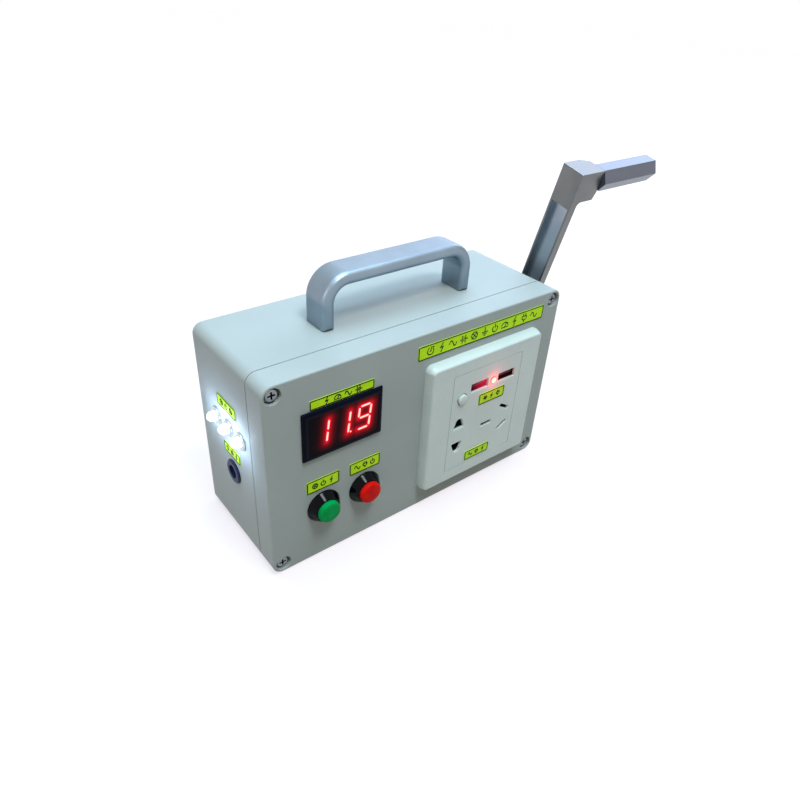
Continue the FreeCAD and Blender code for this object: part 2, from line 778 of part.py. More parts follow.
def screw(name, radius, length, head_radius, head_height):
    # A pan head screw on Z, its head above z = 0, with a cross recess.
    turned = Moulding(name)
    turned.turn(polygon([
        (0, -length), (radius, -length), (radius, 0), (head_radius, 0),
        (head_radius, head_height), (0, head_height),
    ]))
    turned.fillet(head_height * 0.45, both(lies_at(2, head_height)))
    arm = S.cross_length / 2
    half = S.cross_width / 2
    floor = head_height - S.cross_depth
    turned.pocket("XY", [rectangle(-arm, -half, arm, half)], floor, S.cross_depth + 1)
    turned.pocket("XY", [rectangle(-half, -arm, half, arm)], floor, S.cross_depth + 1)
    return turned.body


def copies(name, master, places, axis, angle):
    # Equal solids at several places, each linked to one master.
    links = []
    for x, y, z in places:
        link = make("App::Link", name + "_copy")
        link.LinkedObject = master
        link.LinkTransform = False
        put(link, x, y, z, axis, angle)
        links.append(link)
    return links


def case_body():
    shell = Moulding("case_body")
    shell.pad("XZ", [rounded(left, size(0), right, top, S.corner_radius)], seam, back - seam)
    shell.fillet(S.back_round, lies_at(1, back))
    hollow = rounded(inside_left, S.case_wall, inside_right, inside_top, S.inner_radius)
    shell.pocket("XZ", [hollow], seam, inside_back - seam)
    posts = [circle(x, z, S.post_radius) for x, z in post_places]
    shell.pad("XZ", posts, seam, inside_back - seam)
    pilots = [circle(x, z, S.lid_screw_radius) for x, z in post_places]
    screw_end = front + S.counterbore_depth + S.lid_screw_length
    shell.pocket("XZ", pilots, seam, screw_end - seam)
    shell.pad("XZ", [circle(x, z, S.board_post_radius) for x, z in board_posts],
              inside_back - S.board_lift, S.board_lift)
    gearbox_end = inside_right - S.gearbox_gap
    spacers = [circle(y, z, S.standoff_radius) for y, z in standoff_places]
    shell.pad("YZ", spacers, gearbox_end, S.gearbox_gap)
    threads = [circle(y, z, S.gearbox_screw_radius) for y, z in standoff_places]
    shell.pocket("YZ", threads, gearbox_end - 1, S.gearbox_gap + 1)
    groove = []
    for inset in (S.gasket_inset, S.gasket_inset + S.gasket_width):
        groove.append(rounded(left + inset, inset, right - inset, top - inset,
                              S.corner_radius - inset))
    shell.pocket("XZ", groove, seam, S.gasket_depth)
    bush = circle(S.crank_place_y, S.crank_place_z, S.bush_radius)
    shell.pocket("YZ", [bush], inside_right - S.case_wall, 3 * S.case_wall)
    lamps = [circle(y, S.led_place_z, S.led_barrel_radius) for y in led_places]
    socket = circle(S.dc_place_y, S.dc_place_z, S.dc_barrel_radius)
    shell.pocket("YZ", lamps + [socket], left - S.case_wall, 3 * S.case_wall)
    feet = [circle(x, size(0), S.handle_screw_radius + S.run_gap) for x in handle_feet]
    shell.pocket("XY", feet, inside_top - S.case_wall, 3 * S.case_wall)
    node("case_body", shell.done())


def case_lid():
    lid = Moulding("case_lid")
    lid.pad("XZ", [rounded(left, size(0), right, top, S.corner_radius)], front,
            lid_end - front)
    lid.fillet(S.front_round, lies_at(1, front))
    hollow = rounded(inside_left, S.case_wall, inside_right, inside_top, S.inner_radius)
    lid.pocket("XZ", [hollow], inside_front, seam - inside_front)
    posts = [circle(x, z, S.post_radius) for x, z in post_places]
    lid.pad("XZ", posts, inside_front, lid_end - inside_front)
    clearance = S.lid_screw_radius + S.run_gap
    lid.pocket("XZ", [circle(x, z, clearance) for x, z in post_places], front - 1, S.lid_depth + 2)
    recesses = [circle(x, z, S.counterbore_radius) for x, z in post_places]
    lid.pocket("XZ", recesses, front - 1, S.counterbore_depth + 1)
    meter_w = S.meter_body_width / 2 + S.fit_gap
    meter_h = S.meter_body_height / 2 + S.fit_gap
    meter = rectangle(S.meter_place_x - meter_w, S.meter_place_z - meter_h,
                      S.meter_place_x + meter_w, S.meter_place_z + meter_h)
    socket_w = S.insert_width / 2 - S.insert_gap + S.fit_gap
    socket_h = S.insert_height / 2 - S.insert_gap + S.fit_gap
    socket = rectangle(S.plate_place_x - socket_w, S.plate_place_z - socket_h,
                       S.plate_place_x + socket_w, S.plate_place_z + socket_h)
    holes = [circle(x, S.button_place_z, S.button_barrel_radius + S.run_gap)
             for x in (S.green_place_x, S.red_place_x)]
    pitch = S.socket_screw_pitch / 2
    holes += [circle(S.plate_place_x + k * pitch, S.plate_place_z,
                     S.socket_screw_radius + S.run_gap) for k in (-1, 1)]
    lid.pocket("XZ", [meter, socket] + holes, front - 1, S.case_wall + 2)
    node("case_lid", lid.done())

    gasket = Moulding("lid_gasket")
    ring = []
    for inset in (S.gasket_inset, S.gasket_inset + S.gasket_width):
        ring.append(rounded(left + inset, inset, right - inset, top - inset,
                            S.corner_radius - inset))
    gasket.pad("XZ", ring, lid_end, S.seam_gap + S.gasket_depth)
    node("lid_gasket", gasket.done())

    master = screw("lid_screw", S.lid_screw_radius, S.lid_screw_length,
                   S.lid_head_radius, S.lid_head_height)
    seat = front + S.counterbore_depth
    places = [(x, seat, z) for x, z in post_places]
    group("lid_screws", copies("lid_screw", master, places, Vector(1, 0, 0), 90))


def top_handle():
    bar = Moulding("top_handle")
    half = S.handle_length / 2
    crown = top + S.handle_height
    leg = S.handle_bar
    bar.pad("XZ", [polygon([
        (handle_x - half, top), (handle_x - half + leg, top),
        (handle_x - half + leg, crown - leg), (handle_x + half - leg, crown - leg),
        (handle_x + half - leg, top), (handle_x + half, top),
        (handle_x + half, crown), (handle_x - half, crown),
    ])], -S.handle_width / 2, S.handle_width)
    bar.fillet(S.handle_bend, both(runs_along(1), lies_at(2, crown)))
    bar.fillet(S.handle_bend - leg, both(runs_along(1), lies_at(2, crown - leg)))
    sides = (lies_at(1, S.handle_width / 2), lies_at(1, -S.handle_width / 2))
    off_feet = beyond(2, top)
    bar.fillet(S.handle_edge, lambda edge: off_feet(edge) and any(side(edge) for side in sides))
    holes = [circle(x, size(0), S.handle_screw_radius) for x in handle_feet]
    bar.pocket("XY", holes, top - 1, S.handle_screw_grip + 1)
    node("top_handle", bar.done())

    master = screw("handle_screw", S.handle_screw_radius, S.case_wall + S.handle_screw_grip,
                   S.handle_head_radius, S.handle_head_height)
    places = [(x, 0, inside_top) for x in handle_feet]
    group("handle_screws", copies("handle_screw", master, places, Vector(1, 0, 0), 180))


def meter():
    x, z = S.meter_place_x, S.meter_place_z
    half_w, half_h = S.meter_width / 2, S.meter_height / 2
    face = front - S.meter_flange
    body_w, body_h = S.meter_body_width / 2, S.meter_body_height / 2
    end = front + S.meter_body_depth
    window_w, window_h = S.window_width / 2, S.window_height / 2
    display_w, display_h = S.display_width / 2, S.display_height / 2
    window_back = face + S.window_sink + S.window_thick

    bezel = Moulding("meter_bezel")
    bezel.pad("XZ", [rectangle(x - half_w, z - half_h, x + half_w, z + half_h)],
              face, S.meter_flange)
    bezel.chamfer(S.meter_chamfer, lies_at(1, face))
    bezel.pad("XZ", [rectangle(x - body_w, z - body_h, x + body_w, z + body_h)],
              front, S.meter_body_depth)
    bezel.pocket("XZ", [rectangle(x - window_w, z - window_h, x + window_w, z + window_h)],
                 face - 1, 1 + S.window_sink + S.window_thick)
    bezel.pocket("XZ", [rectangle(x - display_w, z - display_h, x + display_w, z + display_h)],
                 window_back - 1, S.display_depth + 1)
    wall = S.meter_body_wall
    bezel.pocket("XZ", [rectangle(x - body_w + wall, z - body_h + wall,
                                  x + body_w - wall, z + body_h - wall)],
                 window_back + S.display_depth, end - window_back - S.display_depth)
    node("meter_bezel", bezel.done())

    node("meter_window", block("meter_window", x - window_w, face + S.window_sink, z - window_h,
                               S.window_width, S.window_thick, S.window_height))
    digits = block("meter_digits", x - display_w, window_back, z - display_h,
                   S.display_width, S.display_depth, S.display_height)
    board = block("meter_board", x - body_w + wall, window_back + S.display_depth,
                  z - body_h + wall, S.meter_body_width - 2 * wall, S.board_thick,
                  S.meter_body_height - 2 * wall)
    node("meter_display", fuse("meter_display_module", [digits, board]))


def push_button(colour, x):
    # The axis is Z while it is built, with z = 0 at the lid's front face.
    lip_back = S.button_cone - S.button_lip
    mouth = S.button_cap_radius + S.run_gap
    chamber = S.button_collar_radius + S.run_gap
    barrel_end = -S.button_barrel_length
    block_end = barrel_end - S.button_block_length
    housing = Moulding(f"{colour}_button_body")
    housing.turn(polygon([
        (0, block_end), (S.button_block_radius, block_end),
        (S.button_block_radius, barrel_end), (S.button_barrel_radius, barrel_end),
        (S.button_barrel_radius, 0), (S.button_flange_radius, 0),
        (S.button_flange_radius, S.button_foot), (S.button_mouth_radius, S.button_cone),
        (mouth, S.button_cone), (mouth, lip_back), (chamber, lip_back),
        (chamber, barrel_end + S.case_wall), (0, barrel_end + S.case_wall),
    ]))
    node(f"{colour}_button_body",
         housing.done(x, front, S.button_place_z, Vector(1, 0, 0), 90))

    cap = Moulding(f"{colour}_button_cap")
    collar_back = lip_back - S.button_collar
    stem_end = barrel_end + S.case_wall + S.button_travel + S.fit_gap
    cap.turn(polygon([
        (0, stem_end), (S.button_cap_radius / 2, stem_end),
        (S.button_cap_radius / 2, collar_back), (S.button_collar_radius, collar_back),
        (S.button_collar_radius, lip_back), (S.button_cap_radius, lip_back),
        (S.button_cap_radius, S.button_cap_out), (0, S.button_cap_out),
    ]))
    cap.fillet(S.button_cap_round, lies_at(2, S.button_cap_out))
    node(f"{colour}_button_cap",
         cap.done(x, front, S.button_place_z, Vector(1, 0, 0), 90))


def button_nuts():
    nuts = []
    for x in (S.green_place_x, S.red_place_x):
        nut = hexagon("button_nut", "Y", x, inside_front, S.button_place_z,
                      S.button_nut_radius, S.button_nut_thick)
        bore = rod("button_nut_bore", "Y", x, inside_front - 1, S.button_place_z,
                   S.button_barrel_radius, S.button_nut_thick + 2)
        nuts.append(cut("button_nut_ring", nut, [bore]))
    group("button_nuts", nuts)


def lamps():
    # Built on Z with z = 0 at the left wall's outer face, then turned to face -X.
    holder = Moulding("led_bezel")
    lip = S.led_flange
    holder.turn(polygon([
        (S.led_radius, -S.led_barrel_length), (S.led_barrel_radius, -S.led_barrel_length),
        (S.led_barrel_radius, 0), (S.led_flange_radius, 0),
        (S.led_flange_radius, lip * 0.5), (S.led_flange_radius - lip * 0.5, lip),
        (S.led_radius, lip),
    ]))
    dome = Moulding("led_dome")
    dome.turn(polygon([
        (0, -S.led_length), (S.led_radius, -S.led_length),
        (S.led_radius, lip + S.led_dome_out + S.led_radius),
        (0, lip + S.led_dome_out + S.led_radius),
    ]))
    dome.fillet(S.led_radius * 0.98, lies_at(2, lip + S.led_dome_out + S.led_radius))
    places = [(left, y, S.led_place_z) for y in led_places]
    turned = (Vector(0, 1, 0), -90)
    group("led_bezels", copies("led_bezel", holder.body, places, *turned))
    group("led_domes", copies("led_dome", dome.body, places, *turned))


def power_socket():
    y, z = S.dc_place_y, S.dc_place_z
    housing = Moulding("dc_socket_body")
    lip = S.dc_flange
    floor = lip - S.dc_recess_depth
    housing.turn(polygon([
        (0, -S.dc_barrel_length), (S.dc_barrel_radius, -S.dc_barrel_length),
        (S.dc_barrel_radius, 0), (S.dc_flange_radius, 0),
        (S.dc_flange_radius, lip * 0.4), (S.dc_flange_radius - lip * 0.6, lip),
        (S.dc_recess_radius, lip), (S.dc_recess_radius, floor), (0, floor),
    ]))
    node("dc_socket_body", housing.done(left, y, z, Vector(0, 1, 0), -90))

    pin = Moulding("dc_socket_pin")
    pin.turn(polygon([
        (0, floor), (S.dc_pin_radius, floor), (S.dc_pin_radius, 0), (0, 0),
    ]))
    pin.fillet(S.dc_pin_radius * 0.6, lies_at(2, 0))
    node("dc_socket_pin", pin.done(left, y, z, Vector(0, 1, 0), -90))

    nut = hexagon("dc_nut", "X", inside_left, y, z, S.dc_nut_radius, S.dc_nut_thick)
    bore = rod("dc_nut_bore", "X", inside_left - 1, y, z, S.dc_barrel_radius, S.dc_nut_thick + 2)
    node("dc_socket_nut", cut("dc_nut_ring", nut, [bore]))


def labels():
    def label(name, x, z, width, height, face):
        plate = Moulding(name)
        plate.pad("XZ", [rounded(x - width / 2, z - height / 2, x + width / 2, z + height / 2,
                                 S.label_corner)], face - S.label_thick, S.label_thick)
        return plate.done()

    title_x = S.plate_place_x + S.title_label_shift
    title_z = (S.plate_place_z + S.plate_width / 2 + S.title_label_gap
               + S.title_label_height / 2)
    title = label("title_label", title_x, title_z,
                  S.title_label_width, S.title_label_height, front)
    meter_z = (S.meter_place_z + S.meter_height / 2 + S.meter_label_gap
               + S.meter_label_height / 2)
    named = [title, label("meter_label", S.meter_place_x, meter_z,
                          S.meter_label_width, S.meter_label_height, front)]
    for x in (S.green_place_x, S.red_place_x):
        named.append(label("button_label", x, S.button_place_z + S.button_label_rise,
                           S.button_label_width, S.button_label_height, front))
    usb_low = S.plate_place_z + S.usb_place_z - S.usb_height / 2 - S.usb_label_drop
    named.append(label("usb_label", S.plate_place_x + S.pilot_x, usb_low,
                       S.usb_label_width, S.usb_label_height, plate_face))
    named.append(label("mains_label", S.plate_place_x + S.mains_label_x,
                       S.plate_place_z + S.mains_label_z,
                       S.mains_label_width, S.mains_label_height, plate_face))

    for y, z, width, height in (
            (S.led_place_y, S.led_place_z + S.lamp_label_rise,
             S.lamp_label_width, S.lamp_label_height),
            (S.dc_place_y, S.dc_place_z + S.dc_label_rise, S.dc_label_width, S.dc_label_height)):
        plate = Moulding("side_label")
        plate.pad("YZ", [rounded(y - width / 2, z - height / 2, y + width / 2, z + height / 2,
                                 S.label_corner)], left - S.label_thick, S.label_thick)
        named.append(plate.done())
    group("labels", named)


def slot(a, b, length, width, angle=0):
    # A straight slot, turned about its own middle.
    along = (cosine(angle) * length / 2, sine(angle) * length / 2)
    across = (-(sine(angle) * width / 2), cosine(angle) * width / 2)
    corners = []
    for k, m in ((-1, -1), (1, -1), (1, 1), (-1, 1)):
        corners.append((a + k * along[0] + m * across[0], b + k * along[1] + m * across[1]))
    return polygon(corners)


def wall_socket():
    x, z = S.plate_place_x, S.plate_place_z
    half = S.plate_width / 2
    face = front - S.plate_thick
    usb_z = z + S.usb_place_z
    usb_x = [x + S.usb_left_x, x + S.usb_right_x]
    switch_x, switch_z = x + S.switch_x, z + S.switch_z
    mains_z = z + S.mains_z
    insert_w = S.insert_width / 2 - S.insert_gap
    insert_h = S.insert_height / 2 - S.insert_gap

    plate = Moulding("socket_plate")
    outline = rounded(x - half, z - half, x + half, z + half, S.plate_corner)
    plate.pad("XZ", [outline], front - S.plate_foot, S.plate_foot)
    plate.slope("XZ", [outline], front - S.plate_foot, S.plate_thick - S.plate_foot, S.plate_slope)
    plate.fillet(S.plate_round, lies_at(1, face))
    opening = rectangle(x - S.insert_width / 2, z - S.insert_height / 2,
                        x + S.insert_width / 2, z + S.insert_height / 2)
    plate.pocket("XZ", [opening], face - 1, S.plate_thick + 2)
    pitch = S.socket_screw_pitch / 2
    threads = [circle(x + k * pitch, z, S.socket_screw_radius) for k in (-1, 1)]
    plate.pocket("XZ", threads, front - S.socket_screw_bite, S.socket_screw_bite + 1)
    node("socket_plate", plate.done())

    insert = Moulding("socket_insert")
    insert.pad("XZ", [rectangle(x - insert_w, z - insert_h, x + insert_w, z + insert_h)],
               face, S.plate_thick)
    deep = S.plate_thick + 2
    pins = [slot(x + S.earth_x, mains_z, S.slot_length, S.slot_width)]
    pins += [slot(x + S.live_x, mains_z + k * S.live_rise, S.slot_length, S.slot_width,
                  -k * S.live_angle) for k in (-1, 1)]
    # A two pin hole takes a flat blade or a round pin, so it narrows outward.
    wide = S.two_pin_width / 2
    for k in (-1, 1):
        flat_side = mains_z + k * (S.two_pin_slot - S.slot_width / 2)
        round_side = mains_z + k * S.two_pin_round
        pins.append(polygon([
            (x + S.two_pin_x - wide, flat_side), (x + S.two_pin_x + wide, flat_side),
            (x + S.two_pin_x + wide, flat_side + k * S.slot_width / 2),
            (x + S.two_pin_x + S.two_pin_radius, round_side),
            (x + S.two_pin_x - S.two_pin_radius, round_side),
            (x + S.two_pin_x - wide, flat_side + k * S.slot_width / 2),
        ]))
    insert.pocket("XZ", pins, face - 1, deep)
    rounds = [circle(x + S.two_pin_x, mains_z + k * S.two_pin_round, S.two_pin_radius)
              for k in (-1, 1)]
    insert.pocket("XZ", rounds, face - 1, deep)
    ports = [rectangle(u - S.usb_width / 2, usb_z - S.usb_height / 2,
                       u + S.usb_width / 2, usb_z + S.usb_height / 2) for u in usb_x]
    pilot = circle(x + S.pilot_x, usb_z, S.pilot_radius)
    switch = circle(switch_x, switch_z, S.switch_radius + S.run_gap)
    insert.pocket("XZ", ports + [pilot, switch], face - 1, deep)
    node("socket_insert", insert.done())

    housing = Moulding("socket_housing")
    wall = S.housing_wall
    housing.pad("XZ", [rectangle(x - insert_w, z - insert_h, x + insert_w, z + insert_h)],
                front, S.housing_depth)
    housing.pocket("XZ", [rectangle(x - insert_w + wall, z - insert_h + wall,
                                    x + insert_w - wall, z + insert_h - wall)],
                   front, S.housing_depth - wall)
    node("socket_housing", housing.done())

    shells = []
    tongues = []
    for u in usb_x:
        low_x, low_z = u - S.usb_width / 2, usb_z - S.usb_height / 2
        outside = block("usb_shell", low_x, face, low_z, S.usb_width, S.usb_depth, S.usb_height)
        inside = block("usb_shell_bore", low_x + S.usb_wall, face - 1, low_z + S.usb_wall,
                       S.usb_width - 2 * S.usb_wall, S.usb_depth + 2,
                       S.usb_height - 2 * S.usb_wall)
        shells.append(cut("usb_shell_tube", outside, [inside]))
        tongues.append(block("usb_tongue", u - S.usb_tongue_width / 2, face + S.usb_tongue_sink,
                             usb_z, S.usb_tongue_width, S.usb_depth - S.usb_tongue_sink,
                             S.usb_tongue_thick))
    group("usb_shells", shells)
    group("usb_tongues", tongues)

    board_x0 = x - insert_w + wall
    board_z0 = usb_z - S.usb_height * 2
    board_top = z + insert_h - wall
    node("usb_board", block("usb_board", board_x0, face + S.usb_depth, board_z0,
                            (insert_w - wall) * 2, S.board_thick, board_top - board_z0))

    node("socket_led", rod("socket_led", "Y", x + S.pilot_x, face - S.pilot_out, usb_z,
                           S.pilot_radius, S.pilot_out + S.usb_depth))

    button = Moulding("socket_button")
    press = S.switch_travel + S.fit_gap
    button.turn(polygon([
        (0, press - S.usb_depth), (S.switch_radius / 2, press - S.usb_depth),
        (S.switch_radius / 2, -S.plate_thick), (S.switch_radius, -S.plate_thick),
        (S.switch_radius, S.switch_out), (0, S.switch_out),
    ]))
    button.fillet(S.switch_out / 3, lies_at(2, S.switch_out))
    node("socket_button", button.done(switch_x, face, switch_z, Vector(1, 0, 0), 90))

    contact_y = front + S.housing_depth - wall - S.contact_depth
    contacts = []
    for a, b, length, angle in (
            (x + S.earth_x, mains_z, S.slot_length, 0),
            (x + S.live_x, mains_z + S.live_rise, S.slot_length, -S.live_angle),
            (x + S.live_x, mains_z - S.live_rise, S.slot_length, S.live_angle),
            (x + S.two_pin_x, mains_z + S.two_pin_slot, S.two_pin_width, 0),
            (x + S.two_pin_x, mains_z - S.two_pin_slot, S.two_pin_width, 0)):
        leaf = Moulding("mains_contact")
        leaf.pad("XZ", [slot(a, b, length, S.contact_thick, angle)], contact_y, S.contact_depth)
        contacts.append(leaf.done())
    group("mains_contacts", contacts)

    master = screw("socket_screw", S.socket_screw_radius, S.case_wall + S.socket_screw_bite,
                   S.socket_head_radius, S.socket_head_height)
    places = [(x + k * pitch, inside_front, z) for k in (-1, 1)]
    group("socket_screws", copies("socket_screw", master, places, Vector(1, 0, 0), -90))


# The crank's own frame: X as on the case, Z up the arm, its origin on the axis
arm_x = right + S.crank_gap
arm_outer = arm_x + S.arm_thick
arm_front = -S.arm_width / 2
hinge_x = arm_x + S.hinge_place_x
hinge_z = S.arm_reach - S.hinge_drop
shoulder_x = arm_x + S.block_length
shaft_tip = arm_outer - S.shaft_end
grip_height = S.grip_side * root(size(3))
tongue_low = grip_height - S.hinge_drop


def on_crank(moulding):
    return moulding.done(0, S.crank_place_y, S.crank_place_z, Vector(1, 0, 0), S.crank_lean)


def crank_arm():
    half = S.arm_width / 2
    tip = S.arm_reach
    block_low = tip - S.block_height
    arm = Moulding("crank_arm")
    arm.pad("YZ", [rectangle(-half, -S.arm_tail, half, tip)], arm_x, S.arm_thick)
    arm.fillet(half - S.arm_tail_flat / 2, both(runs_along(0), lies_at(2, -S.arm_tail)))
    channel = rectangle(-half + S.arm_wall, S.arm_wall - S.arm_tail,
                        half - S.arm_wall, tip - S.arm_solid)
    arm.pocket("YZ", [channel], arm_x, S.arm_thick - S.arm_wall)
    arm.pad("YZ", [circle(size(0), size(0), S.hub_radius)], arm_x - S.hub_depth,
            S.hub_depth + S.arm_thick)
    arm.pad("XY", [polygon([
        (arm_x, arm_front), (shoulder_x, arm_front), (shoulder_x, S.block_back),
        (arm_x + S.block_taper, half), (arm_x, half),
    ])], block_low, S.block_height)
    arm.fillet(S.block_fillet, both(lies_at(0, arm_outer), lies_at(2, block_low)))
    slant_x = shoulder_x - S.block_slant_length
    arm.pocket("XZ", [polygon([
        (slant_x, block_low), (shoulder_x, block_low),
        (shoulder_x, block_low + S.block_slant_height),
    ])], arm_front - 1, S.arm_width + 2)
    slot_top = tip - S.hinge_slot_top
    arm.pocket("XZ", [rectangle(arm_x + S.hinge_slot_start, block_low - 1,
                                shoulder_x + 1, slot_top)],
               S.hinge_mid - S.hinge_slot / 2, S.hinge_slot)
    arm.pocket("XZ", [circle(hinge_x, hinge_z, S.pin_radius)], arm_front + S.pin_inset,
               S.arm_width)
    arm.pocket("YZ", [circle(size(0), size(0), S.shaft_radius)], arm_x - S.hub_depth - 1,
               shaft_tip - arm_x + S.hub_depth + 1)
    arm.pocket("YZ", [circle(size(0), size(0), S.hub_screw_radius + S.run_gap)], shaft_tip - 1,
               S.shaft_end + 2)
    node("crank_arm", on_crank(arm))


def grip():
    # A hexagon bar, one flat side up and level with the arm's tip. Its front
    # corner stands past the block, so the relief stops behind that corner.
    tip = S.arm_reach
    near_end = shoulder_x + S.grip_gap
    middle = tip - grip_height / 2
    handle = Moulding("grip")
    handle.pad("YZ", [polygon([
        (S.grip_mid - S.grip_side, middle), (S.grip_mid - S.grip_side / 2, tip - grip_height),
        (S.grip_mid + S.grip_side / 2, tip - grip_height), (S.grip_mid + S.grip_side, middle),
        (S.grip_mid + S.grip_side / 2, tip), (S.grip_mid - S.grip_side / 2, tip),
    ])], near_end, S.grip_length)
    handle.pocket("XZ", [circle(hinge_x, hinge_z, S.grip_relief)], arm_front - S.fit_gap,
                  S.arm_width)
    tongue_y = S.hinge_mid - S.tongue_thick / 2
    reach = hinge_x + S.grip_relief + S.tongue_overlap
    handle.pad("XZ", [rectangle(hinge_x, hinge_z - tongue_low, reach,
                                hinge_z + S.tongue_radius)], tongue_y, S.tongue_thick)
    handle.pad("XZ", [circle(hinge_x, hinge_z, S.tongue_radius)], tongue_y, S.tongue_thick)
    handle.pocket("XZ", [circle(hinge_x, hinge_z, S.pin_radius + S.run_gap)],
                  tongue_y - 1, S.tongue_thick + 2)
    node("grip", on_crank(handle))


def crank_fittings():
    pin = Moulding("grip_pin")
    start = arm_front + S.pin_inset
    pin.pad("XZ", [circle(hinge_x, hinge_z, S.pin_radius)], start,
            S.arm_width - 2 * S.pin_inset)
    node("grip_pin", on_crank(pin))

    y, z = S.crank_place_y, S.crank_place_z
    shaft_start = inner_plate_x + S.fit_gap
    shaft = rod("crank_shaft", "X", shaft_start, y, z, S.shaft_radius, shaft_tip - shaft_start)
    thread = rod("crank_shaft_thread", "X", arm_outer - S.hub_screw_length, y, z,
                 S.hub_screw_radius, S.hub_screw_length)
    node("crank_shaft", cut("crank_shaft_drilled", shaft, [thread]))
    master = screw("hub_screw", S.hub_screw_radius, S.hub_screw_length,
                   S.hub_head_radius, S.hub_head_height)
    node("hub_screw", put(master, arm_outer, y, z, Vector(0, 1, 0), 90))


def involute(angle):
    return math.tan(angle) - angle


def tooth_ring(teeth, module, centre, turn):
    # Face of a spur gear with involute flanks, in a plane square to X. One
    # tooth points along the angle turn, counted from +Y toward +Z.
    alpha = math.radians(S.pressure_angle.number)
    pitch = module * teeth / 2
    base = pitch * math.cos(alpha)
    tip = pitch + S.tooth_addendum.number * module
    foot = pitch - S.tooth_dedendum.number * module
    half = math.pi / (2 * teeth) - S.tooth_backlash.number / (2 * pitch)

    def point(radius, angle):
        return centre + Vector(0, radius * math.cos(angle), radius * math.sin(angle))

    def flank(radius):
        roll = math.acos(min(1, base / max(radius, base)))
        return half + involute(alpha) - involute(roll)

    start = max(base, foot)
    middle = (start + tip) / 2
    step = 2 * math.pi / teeth
    edges = []
    for k in range(teeth):
        at = turn + k * step
        low, high = at - flank(start), at + flank(start)
        if foot < start:
            edges.append(Part.LineSegment(point(foot, low), point(start, low)))
        edges.append(Part.Arc(point(start, low), point(middle, at - flank(middle)),
                              point(tip, at - flank(tip))))
        edges.append(Part.Arc(point(tip, at - flank(tip)), point(tip, at),
                              point(tip, at + flank(tip))))
        edges.append(Part.Arc(point(tip, at + flank(tip)), point(middle, at + flank(middle)),
                              point(start, high)))
        if foot < start:
            edges.append(Part.LineSegment(point(start, high), point(foot, high)))
        edges.append(Part.Arc(point(foot, high), point(foot, at + step / 2),
                              point(foot, at + step - flank(start))))
    return Part.Face(Part.Wire([edge.toShape() for edge in edges]))


def disc(x0, x1, centre, radius):
    base = Vector(x0, centre.y, centre.z)
    return Part.makeCylinder(radius, x1 - x0, base, Vector(1, 0, 0))


def gear(x0, x1, centre, teeth, module, turn):
    here = Vector(x0, centre.y, centre.z)
    return tooth_ring(teeth, module, here, turn).extrude(Vector(x1 - x0, 0, 0))


def webbed(shape, x0, x1, centre, teeth, module, hub):
    # Thins a large gear to its web between hub and rim, on both sides.
    rim = module * (teeth / 2 - S.tooth_dedendum.number) - S.gear_rim.number
    side = (x1 - x0 - S.gear_web.number) / 2
    for start in (x0, x1 - side):
        recess = disc(start, start + side, centre, rim).cut(disc(start, start + side, centre, hub))
        shape = shape.cut(recess)
    return shape


def solid_node(name, shape):
    feature = make("Part::Feature", name)
    feature.Shape = shape
    feature.Placement = Placement()
    return node(name, feature)


# Gear planes along X
wheel_x0 = box_start + S.gear_side
wheel_x1 = wheel_x0 + S.gear_width
drive_x1 = outer_plate_x - S.gear_side
drive_x0 = drive_x1 - S.gear_width
rotor_mid = inner_plate_x - S.generator_length / 2 + 3


def gears():
    teeth = int(S.drive_teeth.number)
    few = int(S.pinion_teeth.number)
    first = S.drive_module.number
    second = S.idler_module.number
    wheel = (wheel_x0.number, wheel_x1.number)
    drive = (drive_x0.number, drive_x1.number)
    crank = Vector(0, S.crank_place_y.number, S.crank_place_z.number)
    idler = Vector(0, idler_y.number, idler_z.number)
    rotor = Vector(0, rotor_y.number, rotor_z.number)
    up = math.pi / 2
    toward_rotor = math.atan2(rotor.z - idler.z, rotor.y - idler.y)
    half_step = math.pi / few

    hub = S.gear_hub_radius.number
    big = webbed(gear(*drive, crank, teeth, first, up), *drive, crank, teeth, first, hub)
    big = big.fuse(disc(drive[0] - S.gear_hub_length.number, drive[0], crank, hub))
    big = big.cut(disc(drive[0] - S.gear_hub_length.number - 1, drive[1] + 1, crank,
                       S.shaft_radius.number))
    solid_node("drive_gear", big)

    hub = S.idler_hub_radius.number
    ring = webbed(gear(*wheel, idler, teeth, second, toward_rotor), *wheel, idler, teeth,
                  second, hub)
    small = gear(drive[0] - 1, drive[1], idler, few, first, -up + half_step)
    both_gears = ring.fuse(disc(wheel[1], drive[0] - 1, idler, hub)).fuse(small)
    bore = disc(wheel[0] - 1, drive[1] + 1, idler, (S.idler_shaft_radius + S.run_gap).number)
    solid_node("idler_gear", both_gears.cut(bore))

    pinion = gear(wheel[0], wheel[1] + 1, rotor, few, second, toward_rotor + math.pi + half_step)
    bore = disc(wheel[0] - 1, wheel[1] + 2, rotor, S.rotor_shaft_radius.number)
    solid_node("rotor_pinion", pinion.cut(bore))


